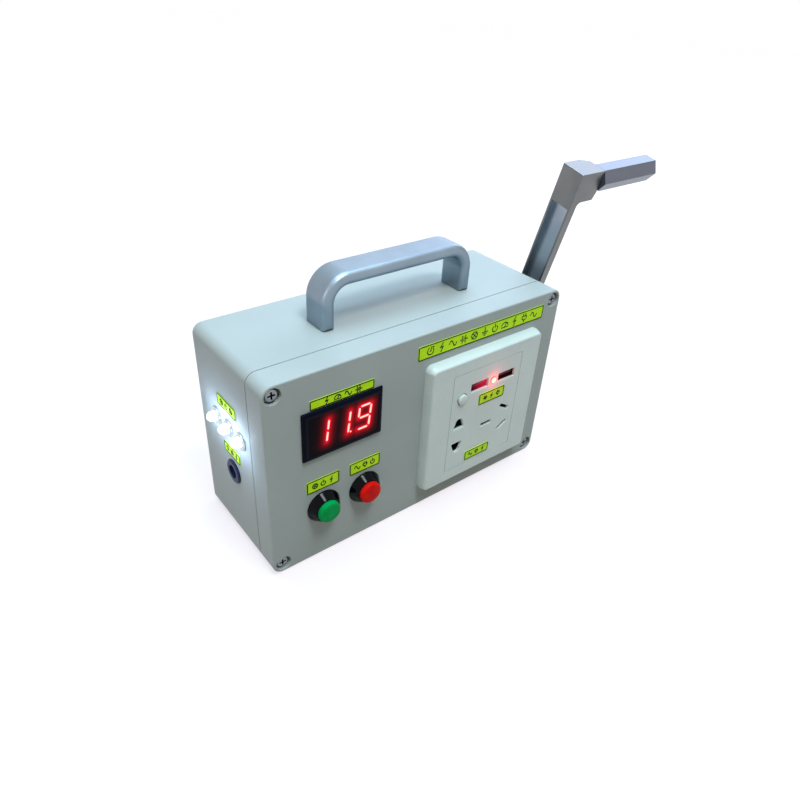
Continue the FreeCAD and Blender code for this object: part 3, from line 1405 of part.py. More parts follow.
def gearbox():
    y, z = S.crank_place_y, S.crank_place_z
    for name, x, generator_hole in (("gear_plate_inner", inner_plate_x, True),
                                    ("gear_plate_outer", outer_plate_x, False)):
        plate = Moulding(name)
        plate.pad("YZ", [rounded(plate_y0, plate_z0, plate_y1, plate_z1, S.gearbox_corner)],
                  x, S.gear_plate)
        holes = [circle(y, z, S.bush_radius), circle(idler_y, idler_z, S.idler_shaft_radius)]
        holes += [circle(a, b, S.gearbox_screw_radius + S.run_gap) for a, b in standoff_places]
        if generator_hole:
            holes.append(circle(rotor_y, rotor_z, S.generator_boss))
        plate.pocket("YZ", holes, x - 1, S.gear_plate + 2)
        node(name, plate.done())

    tubes = []
    for a, b in standoff_places:
        outside = rod("standoff", "X", box_start, a, b, S.standoff_radius, S.gearbox_width)
        inside = rod("standoff_bore", "X", box_start - 1, a, b,
                     S.gearbox_screw_radius + S.run_gap, S.gearbox_width + 2)
        tubes.append(cut("standoff_tube", outside, [inside]))
    group("plate_standoffs", tubes)

    length = 2 * S.gear_plate + S.gearbox_width + S.gearbox_gap
    master = screw("gearbox_screw", S.gearbox_screw_radius, length,
                   S.gearbox_head_radius, S.gearbox_head_height)
    places = [(inner_plate_x, a, b) for a, b in standoff_places]
    group("gearbox_screws", copies("gearbox_screw", master, places, Vector(0, 1, 0), -90))

    node("idler_shaft", rod("idler_shaft", "X", inner_plate_x, idler_y, idler_z,
                            S.idler_shaft_radius, S.gearbox_width + 2 * S.gear_plate))

    bore = S.shaft_radius + S.run_gap
    bush_length = S.gear_plate + S.gear_side * 0.75
    bushes = []
    for start in (inner_plate_x, outer_plate_x - S.gear_side * 0.75):
        outside = rod("bush", "X", start, y, z, S.bush_radius, bush_length)
        inside = rod("bush_bore", "X", start - 1, y, z, bore, bush_length + 2)
        bushes.append(cut("bush_ring", outside, [inside]))

    start = inside_right - S.gearbox_gap / 2
    barrel = rod("wall_bush", "X", start, y, z, S.bush_radius, right - start + S.bush_flange)
    flange = rod("wall_bush_flange", "X", right, y, z, S.bush_flange_radius, S.bush_flange)
    inside = rod("wall_bush_bore", "X", start - 1, y, z, bore, right - start + S.bush_flange + 2)
    bushes.append(cut("wall_bush_turned", fuse("wall_bush_blank", [barrel, flange]), [inside]))
    group("shaft_bushes", bushes)


def generator():
    y, z = rotor_y, rotor_z
    end = inner_plate_x
    start = end - S.generator_length
    inner = S.generator_radius - S.generator_wall
    shaft = S.rotor_shaft_radius
    bore = shaft + S.run_gap

    can = rod("can", "X", start, y, z, S.generator_radius, S.generator_length)
    boss = rod("can_boss", "X", end, y, z, S.generator_boss, S.gear_plate)
    hollow = rod("can_hollow", "X", start - 1, y, z, inner,
                 S.generator_length + 1 - S.generator_wall)
    hole = rod("can_hole", "X", start, y, z, bore, S.generator_length + S.gear_plate + 1)
    node("generator_can", cut("can_turned", fuse("can_blank", [can, boss]), [hollow, hole]))

    commutator_x = rotor_mid - S.armature_length / 2 - S.winding_length - S.commutator_length
    brush_low = S.commutator_radius + S.run_gap * 2
    brush_x = commutator_x + (S.commutator_length - S.brush_width) / 2
    cap_x = start - S.generator_cap
    arm_z = brush_low + S.brush_length
    pieces = [rod("cap", "X", cap_x, y, z, S.generator_radius, S.generator_cap)]
    for k in (-1, 1):
        low = z + arm_z if k > 0 else z - arm_z - S.generator_wall
        pieces.append(block("brush_arm", start - 1, y - S.brush_height / 2, low,
                            brush_x + S.brush_width - start + 1, S.brush_height,
                            S.generator_wall))
    socket = rod("cap_socket", "X", cap_x + S.generator_cap / 3, y, z, bore, S.generator_cap)
    node("generator_end_cap", cut("cap_drilled", fuse("cap_blank", pieces), [socket]))

    brushes = []
    for k in (-1, 1):
        low = z + brush_low if k > 0 else z - brush_low - S.brush_length
        brushes.append(block("brush", brush_x, y - S.brush_height / 2, low,
                             S.brush_width, S.brush_height, S.brush_length))
    group("brushes", brushes)

    magnet_x = rotor_mid - S.magnet_length / 2
    ring = rod("magnet", "X", magnet_x, y, z, inner, S.magnet_length)
    inside = rod("magnet_bore", "X", magnet_x - 1, y, z, inner - S.magnet_thick,
                 S.magnet_length + 2)
    gap = block("magnet_gap", magnet_x - 1, y - S.generator_radius, z - S.magnet_gap / 2,
                S.magnet_length + 2, 2 * S.generator_radius, S.magnet_gap)
    node("field_magnets", cut("magnet_pair", ring, [inside, gap]))

    core_x = rotor_mid - S.armature_length / 2
    core = rod("core", "X", core_x, y, z, S.armature_radius, S.armature_length)
    tools = [rod("core_bore", "X", core_x - 1, y, z, shaft, S.armature_length + 2)]
    slots = int(S.armature_slots.number)
    for k in range(slots):
        groove = block("core_slot", 0, 0, 0, S.armature_length + 2, S.armature_slot,
                       S.armature_radius)
        turn = math.radians(360 / slots * k)
        lift = S.winding_radius * 0.6
        back_y = y - lift * math.sin(turn) - S.armature_slot / 2 * math.cos(turn)
        back_z = z + lift * math.cos(turn) - S.armature_slot / 2 * math.sin(turn)
        put(groove, core_x - 1, back_y, back_z, Vector(1, 0, 0), 360 / slots * k)
        tools.append(groove)
    node("armature", cut("core_slotted", core, tools))

    turns = []
    for start_x in (core_x - S.winding_length, core_x + S.armature_length):
        coil = rod("winding", "X", start_x, y, z, S.winding_radius, S.winding_length)
        inside = rod("winding_bore", "X", start_x - 1, y, z, shaft, S.winding_length + 2)
        turns.append(cut("winding_ring", coil, [inside]))
    group("windings", turns)

    drum = rod("commutator", "X", commutator_x, y, z, S.commutator_radius, S.commutator_length)
    inside = rod("commutator_bore", "X", commutator_x - 1, y, z, shaft, S.commutator_length + 2)
    node("commutator", cut("commutator_ring", drum, [inside]))

    shaft_x = cap_x + S.generator_cap / 3 + S.fit_gap
    node("rotor_shaft", rod("rotor_shaft", "X", shaft_x, y, z, shaft, wheel_x1 + 1 - shaft_x))


def electronics():
    board_x, board_z = S.inverter_place_x, S.inverter_place_z
    node("inverter_board", block("inverter_board", board_x, board_y, board_z,
                                 S.inverter_width, S.board_thick, S.inverter_height))

    x, z = board_x + S.board_post_inset * 2, board_z + S.board_post_inset * 1.75
    depth = S.transformer_depth
    leg = S.transformer_core
    core = block("core_block", x, board_y - depth, z, S.transformer_width, depth,
                 S.transformer_height)
    windows = []
    wide = (S.transformer_width - 3 * leg) / 2
    for k in (0, 1):
        windows.append(block("core_window", x + leg + k * (wide + leg), board_y - depth - 1,
                             z + leg / 2, wide, leg / 2 + 1, S.transformer_height - leg))
    node("transformer", cut("transformer_core_cut", core, windows))

    x = x + S.transformer_width + S.board_post_inset * 2
    fins = int(S.sink_fins.number)
    base = block("sink_base", x, board_y - S.sink_depth, z, S.sink_fin * 2, S.sink_depth,
                 S.sink_height)
    plates = [base]
    pitch = (S.sink_height - S.sink_fin) / (fins - 1)
    for k in range(fins):
        plates.append(block("sink_fin", x, board_y - S.sink_depth, z + k * pitch,
                            S.sink_width, S.sink_depth, S.sink_fin))
    node("heat_sink", fuse("heat_sink_comb", plates))

    caps = []
    for k in (0, 1):
        caps.append(rod("capacitor", "Y", inverter_x1 - S.capacitor_radius,
                        board_y - S.capacitor_length,
                        z + S.capacitor_radius * (1 + 2.4 * k), S.capacitor_radius,
                        S.capacitor_length))
    group("capacitors", caps)

    node("charge_board", block("charge_board", S.charger_place_x, board_y, S.charger_place_z,
                               S.charger_width, S.board_thick, S.charger_height))


def battery():
    wall = S.holder_wall
    cells = int(S.cell_count.number)
    space = S.tab_thick + S.tab_gap
    inner_length = S.cell_length + S.cell_button_height + 2 * space
    inner_height = S.cell_pitch * cells
    x0, z0 = S.holder_place_x, S.holder_place_z
    y0 = inside_back - S.holder_depth
    tray = block("tray", x0, y0, z0, inner_length + 2 * wall, S.holder_depth,
                 inner_height + 2 * wall)
    hollow = block("tray_hollow", x0 + wall, y0 - 1, z0 + wall, inner_length,
                   S.holder_depth + 1 - wall, inner_height)
    node("battery_holder", cut("tray_cut", tray, [hollow]))

    y = inside_back - wall - S.cell_radius - S.tab_gap
    start = x0 + wall + space
    packs = []
    tabs = []
    for k in range(cells):
        z = z0 + wall + S.cell_pitch * (k + 0.5)
        can = rod("cell", "X", start, y, z, S.cell_radius, S.cell_length)
        knob = rod("cell_knob", "X", start + S.cell_length, y, z, S.cell_button,
                   S.cell_button_height)
        packs.append(fuse("cell_whole", [can, knob]))
        for x in (x0 + wall, x0 + wall + inner_length - S.tab_thick):
            tabs.append(block("tab", x, y - S.tab_width / 2, z - S.tab_width / 2,
                              S.tab_thick, S.tab_width, S.tab_width))
    group("battery_cells", packs)
    group("battery_contacts", tabs)


case_body()
case_lid()
top_handle()
meter()
push_button("green", S.green_place_x)
push_button("red", S.red_place_x)
button_nuts()
lamps()
power_socket()
labels()
wall_socket()
crank_arm()
grip()
crank_fittings()
gears()
gearbox()
generator()
electronics()
battery()
doc.recompute()

for item in doc.Objects:
    if "Invalid" in item.State or "Error" in item.State:
        raise ValueError(f"{item.Name} failed: {item.State}")

for name, item in nodes.items():
    shape = item.Shape
    if shape.isNull() or not shape.isValid() or not shape.Solids:
        raise ValueError(f"{name} has no valid solid")

os.makedirs("parts", exist_ok=True)
for name, item in nodes.items():
    item.Shape.exportStep(f"parts/{name}.step")
print(len(nodes), "sub-parts written")
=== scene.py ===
import json
import math

import bmesh
import bpy
from mathutils import Matrix, Vector


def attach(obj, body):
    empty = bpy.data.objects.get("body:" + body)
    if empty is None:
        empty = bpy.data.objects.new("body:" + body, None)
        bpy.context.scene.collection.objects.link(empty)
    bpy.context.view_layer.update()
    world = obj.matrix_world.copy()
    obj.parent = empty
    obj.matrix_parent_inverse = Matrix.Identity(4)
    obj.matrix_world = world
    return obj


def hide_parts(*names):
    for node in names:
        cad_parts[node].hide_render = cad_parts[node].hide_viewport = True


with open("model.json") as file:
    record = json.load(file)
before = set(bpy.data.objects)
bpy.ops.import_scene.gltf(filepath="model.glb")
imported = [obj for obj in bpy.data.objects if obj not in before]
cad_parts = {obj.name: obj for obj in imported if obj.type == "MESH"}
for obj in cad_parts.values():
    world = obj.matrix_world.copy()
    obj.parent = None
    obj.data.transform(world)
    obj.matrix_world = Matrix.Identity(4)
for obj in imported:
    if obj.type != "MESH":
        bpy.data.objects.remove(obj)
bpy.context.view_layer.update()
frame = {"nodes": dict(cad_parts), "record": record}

mm = 0.001
cad = frame["nodes"]

# Places that several pieces share, in mm, as in the part's source
lidFace = -37.5
plateFace = -44.1
leftWall = -100


def deselectAll():
    if bpy.context.object and bpy.context.object.mode != "OBJECT":
        bpy.ops.object.mode_set(mode="OBJECT")
    bpy.ops.object.select_all(action="DESELECT")


def pickPiece(piece):
    deselectAll()
    piece.select_set(True)
    bpy.context.view_layer.objects.active = piece


def openEdit(piece, mode="FACE"):
    pickPiece(piece)
    bpy.ops.object.mode_set(mode="EDIT")
    bpy.ops.mesh.select_mode(type=mode)


def closeEdit():
    bpy.ops.object.mode_set(mode="OBJECT")


def pickAll():
    bpy.ops.mesh.select_all(action="SELECT")


def applyPlace():
    bpy.ops.object.transform_apply(location=True, rotation=True, scale=True)


def pickFaces(test):  # test reads a face's middle in mm and its normal
    mesh = bmesh.from_edit_mesh(bpy.context.object.data)
    for face in mesh.faces:
        face.select_set(bool(test(face.calc_center_median() / mm, face.normal)))
    bmesh.update_edit_mesh(bpy.context.object.data)


def pickEdges(test):  # test reads an edge's two ends in mm
    mesh = bmesh.from_edit_mesh(bpy.context.object.data)
    for edge in mesh.edges:
        edge.select_set(bool(test(edge.verts[0].co / mm, edge.verts[1].co / mm)))
    bmesh.update_edit_mesh(bpy.context.object.data)


def paintFaces(piece, title, test):  # picked faces get one more finish
    piece.data.materials.append(finish[title])
    for face in piece.data.polygons:
        if test(face.center / mm, face.normal):
            face.material_index = len(piece.data.materials) - 1


def roundEdges(piece, width, steps=2, angle=30):
    bevel = piece.modifiers.new("roundEdges", "BEVEL")
    bevel.width = width * mm
    bevel.segments = steps
    bevel.limit_method = "ANGLE"
    bevel.angle_limit = math.radians(angle)
    bevel.use_clamp_overlap = True
    bevel.miter_outer = "MITER_ARC"
    pickPiece(piece)
    bpy.ops.object.modifier_apply(modifier="roundEdges")


# Large flats keep their own normals, so a round beside one doesn't shade across it.
def smoothPiece(piece, angle=32):
    pickPiece(piece)
    bpy.ops.object.shade_smooth_by_angle(angle=math.radians(angle))
    weigh = piece.modifiers.new("flatNormals", "WEIGHTED_NORMAL")
    weigh.weight = 100
    weigh.keep_sharp = True
    bpy.ops.object.modifier_apply(modifier="flatNormals")


def settle(piece, body, *replaced, slot=None):  # place goes into the mesh, then it rides
    pickPiece(piece)
    applyPlace()
    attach(piece, body)
    if replaced:
        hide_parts(*replaced)
    return piece


def joinPieces(name, pieces):
    deselectAll()
    for piece in pieces:
        piece.select_set(True)
    bpy.context.view_layer.objects.active = pieces[0]
    if len(pieces) > 1:
        bpy.ops.object.join()
    applyPlace()
    pieces[0].name = name
    return pieces[0]


def copyPiece(piece, shift):  # each copy has a mesh of its own
    pickPiece(piece)
    bpy.ops.object.duplicate(linked=False)
    twin = bpy.context.object
    twin.location = twin.location + Vector(shift) * mm
    return twin


cleanUp = {"weld": 0.004, "flat": 0.6}  # mm between points, degrees between faces


def copyNode(name, newName):  # a CAD node's mesh, welded and with its flat faces whole
    piece = bpy.data.objects.new(newName, cad[name].data.copy())
    bpy.context.scene.collection.objects.link(piece)
    piece.data.materials.clear()
    openEdit(piece)
    pickAll()
    bpy.ops.mesh.customdata_custom_splitnormals_clear()
    bpy.ops.mesh.remove_doubles(threshold=cleanUp["weld"] * mm)
    bpy.ops.mesh.dissolve_limited(angle_limit=math.radians(cleanUp["flat"]))
    closeEdit()
    return piece


outOf = {"front": Vector((0, -1, 0)), "left": Vector((-1, 0, 0))}


# A turned piece starts as a disc and is pulled out ring by ring, as on a lathe.
def turnPiece(name, centre, facing, rings, sides=64):
    turn = {"front": (math.pi / 2, 0, 0), "left": (0, -math.pi / 2, 0)}[facing]
    out = outOf[facing]
    first = rings[0]
    place = Vector(centre) * mm + out * first[1] * mm
    deselectAll()
    bpy.ops.mesh.primitive_circle_add(vertices=sides, radius=first[0] * mm, fill_type="NGON",
                                      location=place, rotation=turn)
    piece = bpy.context.object
    piece.name = name
    applyPlace()
    openEdit(piece)
    pickAll()
    radius, height = first
    for nextRadius, nextHeight in rings[1:]:
        step = out * (nextHeight - height) * mm
        bpy.ops.mesh.extrude_region_move(TRANSFORM_OT_translate={"value": step})
        middle = Vector(centre) * mm + out * nextHeight * mm
        share = nextRadius / radius
        bpy.ops.transform.resize(value=(share, share, share), center_override=middle)
        radius, height = nextRadius, nextHeight
    pickAll()
    bpy.ops.mesh.normals_make_consistent(inside=False)
    closeEdit()
    return piece


def srgb(code):  # "#rrggbb" to the linear colour that the shader reads
    parts = [int(code[i:i + 2], 16) / 255 for i in (1, 3, 5)]
    return [p / 12.92 if p <= 0.04045 else ((p + 0.055) / 1.055) ** 2.4 for p in parts] + [1]


def addNode(tree, kind, settings=None, links=None):
    node = tree.nodes.new(kind)
    for key, value in (settings or {}).items():
        if isinstance(key, int) or key in node.inputs:
            node.inputs[key].default_value = value
        else:
            setattr(node, key, value)
    for key, socket in (links or {}).items():
        tree.links.new(socket, node.inputs[key])
    return node


def clearTree(owner):  # the node tree of a material or of the world, emptied
    owner.use_nodes = True
    owner.node_tree.nodes.clear()
    return owner.node_tree


def startMaterial(name, shaderSettings):
    material = bpy.data.materials.new(name)
    tree = clearTree(material)
    shader = addNode(tree, "ShaderNodeBsdfPrincipled", shaderSettings)
    addNode(tree, "ShaderNodeOutputMaterial", links={"Surface": shader.outputs[0]})
    place = addNode(tree, "ShaderNodeTexCoord").outputs["Object"]
    return material, tree, shader, place


def addNoise(tree, size, detail, place):  # at scale 1 its features are about one metre across
    return addNode(tree, "ShaderNodeTexNoise", {"Scale": 1 / (size * mm), "Detail": detail},
                   {"Vector": place}).outputs[0]


def addRamp(tree, share, dark, light, start=0.0, end=1.0):
    ramp = addNode(tree, "ShaderNodeValToRGB", {}, {"Fac": share})
    ends = ramp.color_ramp.elements
    ends[0].position, ends[1].position = start, end
    ends[0].color, ends[1].color = srgb(dark), srgb(light)
    return ramp


def addRange(tree, value, given, wanted):
    return addNode(tree, "ShaderNodeMapRange",
                   {"From Min": given[0], "From Max": given[1],
                    "To Min": wanted[0], "To Max": wanted[1]}, {"Value": value}).outputs[0]


mottle = {"driftDetail": 3.0, "grainDetail": 2.0, "litDetail": 1.0, "grainShare": 0.35,
          "darkAt": 0.45, "lightAt": 0.9, "drift": (0.3, 0.7), "bumpShare": 0.25}


# Two colours drift into each other, roughness drifts with them, and a fine grain stands up.
def grainedMaterial(name, looks):
    material, tree, shader, place = startMaterial(name, looks["shader"])
    if "stretch" in looks:
        place = addNode(tree, "ShaderNodeMapping", {"Scale": looks["stretch"]},
                        {"Vector": place}).outputs[0]
    drift = addNoise(tree, looks["driftSize"], mottle["driftDetail"], place)
    grain = addNoise(tree, looks["grainSize"], mottle["grainDetail"], place)
    both = addNode(tree, "ShaderNodeMath", {"operation": "MULTIPLY_ADD", 1: mottle["grainShare"]},
                   {0: grain, 2: drift}).outputs[0]
    ramp = addRamp(tree, both, looks["dark"], looks["light"], mottle["darkAt"], mottle["lightAt"])
    rough = addRange(tree, drift, mottle["drift"], looks["rough"])
    bump = addNode(tree, "ShaderNodeBump",
                   {"Strength": looks["bump"],
                    "Distance": looks["grainSize"] * mottle["bumpShare"] * mm}, {"Height": grain})
    tree.links.new(ramp.outputs[0], shader.inputs["Base Color"])
    tree.links.new(rough, shader.inputs["Roughness"])
    tree.links.new(bump.outputs[0], shader.inputs["Normal"])
    return material, tree, shader


finishes = {
    # ABS moulded in a spark eroded tool: an even pebble grain takes the shine off the grey.
    "absSparkGrainGrey": {"slots": ["case_abs"], "dark": "#a7afad", "light": "#b3bab7",
        "rough": (0.5, 0.6), "driftSize": 60, "grainSize": 0.55, "bump": 0.25,
        "shader": {"IOR": 1.53, "Specular IOR Level": 0.35}},
    # Aluminium bar, bead blasted and clear anodised: soft cool silver with a dry sparkle.
    "aluminiumBlastedAnodised": {"slots": [], "dark": "#7a8994", "light": "#8f9eaa",
        "rough": (0.36, 0.44), "driftSize": 25, "grainSize": 0.35, "bump": 0.3,
        "shader": {"Metallic": 1.0}},
    # Cast aluminium, tumbled and anodised: greyer and a little warm beside the handle's bar.
    "aluminiumCastAnodised": {"slots": ["aluminium_satin"], "dark": "#6e6f6f", "light": "#808180",
        "rough": (0.32, 0.42), "driftSize": 18, "grainSize": 0.5, "bump": 0.3,
        "shader": {"Metallic": 1.0}},
    # The pocket down the crank arm: painted light, a cleaner, cooler, brighter copy of the arm's
    # metal standing in for the light it catches.
    "aluminiumPocketPaintedLight": {"slots": [], "dark": "#8f98a2", "light": "#a5adb5",
        "rough": (0.3, 0.38), "driftSize": 22, "grainSize": 0.25, "bump": 0.15,
        "shader": {"Metallic": 1.0}},
    # Hexagon bar, drawn, brushed and anodised: a slate blue satin with fine marks along it.
    "aluminiumHexBarAnodised": {"slots": [], "dark": "#5f646e", "light": "#717681",
        "rough": (0.26, 0.36), "driftSize": 16, "grainSize": 0.3, "bump": 0.12,
        "shader": {"Metallic": 1.0}, "stretch": (0.15, 1, 1)},
    # Painted highlight on the crank arm's top inner edge: near white metal, a bright line.
    "aluminiumPaintedEdgeHighlight": {"slots": [], "dark": "#eef1f4", "light": "#fafcfd",
        "rough": (0.12, 0.2), "driftSize": 5, "grainSize": 0.2, "bump": 0.05,
        "shader": {"Metallic": 1.0}},
    # Polished mould ABS, black: deep gloss with a faint swirl of handling marks.
    "absGlossBlack": {"slots": ["abs_black"], "dark": "#010205", "light": "#04060b",
        "rough": (0.07, 0.11), "driftSize": 6, "grainSize": 0.4, "bump": 0.03,
        "shader": {"IOR": 1.54, "Specular IOR Level": 0.08}},
    # The same moulding with a blue black dye: near black that turns navy where light grazes it.
    "absGlossNavy": {"slots": [], "dark": "#03050c", "light": "#070a16",
        "rough": (0.16, 0.26), "driftSize": 8, "grainSize": 0.5, "bump": 0.05,
        "shader": {"IOR": 1.54, "Specular IOR Level": 0.06, "Specular Tint": srgb("#a9bcff")}},
    # Satin nylon of the power socket: a true navy that lifts a little beside the lamps.
    "nylonMouldedNavy": {"slots": [], "dark": "#141b33", "light": "#202a49",
        "rough": (0.34, 0.44), "driftSize": 6, "grainSize": 0.4, "bump": 0.06,
        "shader": {"IOR": 1.53, "Specular IOR Level": 0.12}},
    # Urea moulding, satin polished: brilliant clean white with a little orange peel.
    "ureaSatinWhite": {"slots": ["plate_white"], "dark": "#d0dcd9", "light": "#dbe5e1",
        "rough": (0.3, 0.38), "driftSize": 40, "grainSize": 1.6, "bump": 0.05,
        "shader": {"IOR": 1.55, "Coat Weight": 0.1, "Coat Roughness": 0.15}},
    # Polypropylene cap, dyed through, semi gloss: colour stays strong where the light grazes it.
    "polypropyleneGreen": {"slots": ["cap_green"], "dark": "#03974a", "light": "#05ab57",
        "rough": (0.24, 0.32), "driftSize": 5, "grainSize": 0.5, "bump": 0.05,
        "shader": {"IOR": 1.49, "Specular IOR Level": 0.04}},
    "polypropyleneRed": {"slots": ["cap_red"], "dark": "#dc1410", "light": "#ee2018",
        "rough": (0.24, 0.32), "driftSize": 5, "grainSize": 0.5, "bump": 0.05,
        "shader": {"IOR": 1.49, "Specular IOR Level": 0.04}},
    # Smoked acrylic filter, polished: near black with hard clear reflections, and a painted red
    # glow round the digits, added below.
    "acrylicSmokedGlow": {"slots": ["window_dark"], "dark": "#050209", "light": "#0a050f",
        "rough": (0.05, 0.09), "driftSize": 15, "grainSize": 2.0, "bump": 0.02,
        "shader": {"IOR": 1.49, "Specular IOR Level": 0.035}},
    # Resin cast behind the window, matt: a dull black that sets off the lit bars.
    "resinMattBlack": {"slots": ["display_black"], "dark": "#101010", "light": "#181818",
        "rough": (0.5, 0.65), "driftSize": 6, "grainSize": 0.4, "bump": 0.1, "shader": {}},
    # Glass filled nylon housing behind the wall, moulded: dull grey with fibre flecks.
    "nylonGlassFilledGrey": {"slots": ["housing_grey"], "dark": "#77797a", "light": "#8c8e8f",
        "rough": (0.5, 0.65), "driftSize": 8, "grainSize": 0.35, "bump": 0.2, "shader": {}},
    # Bright drawn steel: fine marks run along the draw and stretch the highlights.
    "steelDrawnBright": {"slots": ["steel_bright"], "dark": "#8d9095", "light": "#a9acb1",
        "rough": (0.2, 0.32), "driftSize": 10, "grainSize": 0.2, "bump": 0.12,
        "shader": {"Metallic": 1.0}, "stretch": (1, 8, 8)},
    # Zinc plated screws: a cool, faintly bluish passivated skin with a cloudy bloom.
    "steelZincPlated": {"slots": ["steel_zinc"], "dark": "#6c7174", "light": "#92989b",
        "rough": (0.22, 0.4), "driftSize": 2.0, "grainSize": 0.25, "bump": 0.1,
        "shader": {"Metallic": 1.0}},
    # Brass, turned: rings of the tool run round the bore.
    "brassTurned": {"slots": ["brass"], "dark": "#a88340", "light": "#cda75c",
        "rough": (0.25, 0.38), "driftSize": 4, "grainSize": 0.2, "bump": 0.1,
        "shader": {"Metallic": 1.0}, "stretch": (6, 1, 1)},
    # Enamelled magnet wire, wound: amber red turns that catch the light one by one.
    "copperEnamelWound": {"slots": ["copper"], "dark": "#7d3413", "light": "#c9672f",
        "rough": (0.2, 0.35), "driftSize": 3, "grainSize": 0.45, "bump": 0.5,
        "shader": {"Metallic": 0.9, "Coat Weight": 0.5, "Coat Roughness": 0.12},
        "stretch": (1, 6, 6)},
    # Turned brass under chrome plate: a mirror that the lamps beside it fill with light.
    "brassChromePlated": {"slots": [], "dark": "#c8d0d8", "light": "#dde4ea",
        "rough": (0.08, 0.14), "driftSize": 4, "grainSize": 0.3, "bump": 0.03,
        "shader": {"Metallic": 1.0}},
    # Natural nylon, moulded: milky cream with a waxy sheen.
    "nylonMouldedNatural": {"slots": ["nylon_gear"], "dark": "#d5cfb8", "light": "#e4dfcc",
        "rough": (0.35, 0.48), "driftSize": 8, "grainSize": 0.5, "bump": 0.08,
        "shader": {"IOR": 1.53}},
    # Ferrite, sintered and ground: flat charcoal.
    "ferriteGround": {"slots": ["magnet_dark"], "dark": "#26272a", "light": "#3a3b3e",
        "rough": (0.45, 0.6), "driftSize": 5, "grainSize": 0.3, "bump": 0.25, "shader": {}},
    # Carbon graphite, pressed: soft black, slightly greasy.
    "carbonPressed": {"slots": ["carbon"], "dark": "#151517", "light": "#242427",
        "rough": (0.5, 0.7), "driftSize": 2, "grainSize": 0.2, "bump": 0.2, "shader": {}},
    # Glass epoxy board under solder mask: glassy green over a woven ground.
    "boardSolderMask": {"slots": ["board_green"], "dark": "#0d4a22", "light": "#176a33",
        "rough": (0.25, 0.38), "driftSize": 4, "grainSize": 0.6, "bump": 0.1,
        "shader": {"Coat Weight": 0.3, "Coat Roughness": 0.1}},
    # PVC sleeves, heat shrunk: tight, shiny, slightly rippled.
    "pvcShrunkBlack": {"slots": ["sleeve_black"], "dark": "#0d0d12", "light": "#1a1a22",
        "rough": (0.2, 0.35), "driftSize": 5, "grainSize": 1.0, "bump": 0.1, "shader": {}},
    "pvcShrunkBlue": {"slots": ["cell_blue"], "dark": "#1b5d96", "light": "#2574b3",
        "rough": (0.2, 0.35), "driftSize": 6, "grainSize": 1.0, "bump": 0.1, "shader": {}},
    # Foam rubber cord in the joint between body and lid: matt, soaks up light.
    "rubberFoamBlack": {"slots": ["rubber_black"], "dark": "#2a2e2f", "light": "#3b4041",
        "rough": (0.75, 0.9), "driftSize": 3, "grainSize": 0.3, "bump": 0.3, "shader": {}},
    # Clear cast epoxy of a lamp that is off, with a milky heart.
    "epoxyCastClear": {"slots": ["lens_clear"], "dark": "#dfe8ee", "light": "#f2f7fa",
        "rough": (0.08, 0.14), "driftSize": 2, "grainSize": 0.8, "bump": 0.02,
        "shader": {"IOR": 1.54}},
    "epoxyCastRed": {"slots": ["lens_red"], "dark": "#c2361c", "light": "#de5530",
        "rough": (0.1, 0.18), "driftSize": 2, "grainSize": 0.8, "bump": 0.02,
        "shader": {"IOR": 1.54}},
    # Printed polyester film: lime ink under a satin laminate, with a faint painted glow that makes
    # it a little brighter than plain paint.
    "filmPrintedLimeGlow": {"slots": ["label_lime"], "dark": "#c2ee0c", "light": "#d0fb18",
        "rough": (0.32, 0.44), "driftSize": 9, "grainSize": 0.5, "bump": 0.04,
        "shader": {"IOR": 1.5, "Specular IOR Level": 0.14, "Emission Color": srgb("#b4ff00"),
                   "Emission Strength": 0.03}},
    # The film's dark ink: screen printed, a touch drier than the laminate.
    "inkPrintedDark": {"slots": [], "dark": "#0a1604", "light": "#14260a",
        "rough": (0.45, 0.55), "driftSize": 4, "grainSize": 0.5, "bump": 0.04,
        "shader": {"Specular IOR Level": 0.2}},
    # Dark insides of slots and recesses: painted shade, a flat black standing in for the shade deep
    # in them.
    "paintedShadeBlack": {"slots": [], "dark": "#060708", "light": "#0e1012",
        "rough": (0.6, 0.75), "driftSize": 3, "grainSize": 0.3, "bump": 0.1,
        "shader": {"Specular IOR Level": 0.1}},
}
finish = {}
shaderOf = {}
finishOfSlot = {}
for title, looks in finishes.items():
    finish[title], *shaderOf[title] = grainedMaterial(title, looks)
    for slotName in looks["slots"]:
        finishOfSlot[slotName] = finish[title]

# A painted red glow on the acrylic's face stands in for the light of the digits spreading in it;
# each point of its face knows how much.
halo = {"colour": "#ff0a24", "power": 0.85}
tree, shader = shaderOf["acrylicSmokedGlow"]
spread = addNode(tree, "ShaderNodeAttribute", {"attribute_name": "glow"})
strength = addNode(tree, "ShaderNodeMath", {"operation": "MULTIPLY", 1: halo["power"]},
                   {0: spread.outputs["Fac"]})
shader.inputs["Emission Color"].default_value = srgb(halo["colour"])
tree.links.new(strength.outputs[0], shader.inputs["Emission Strength"])
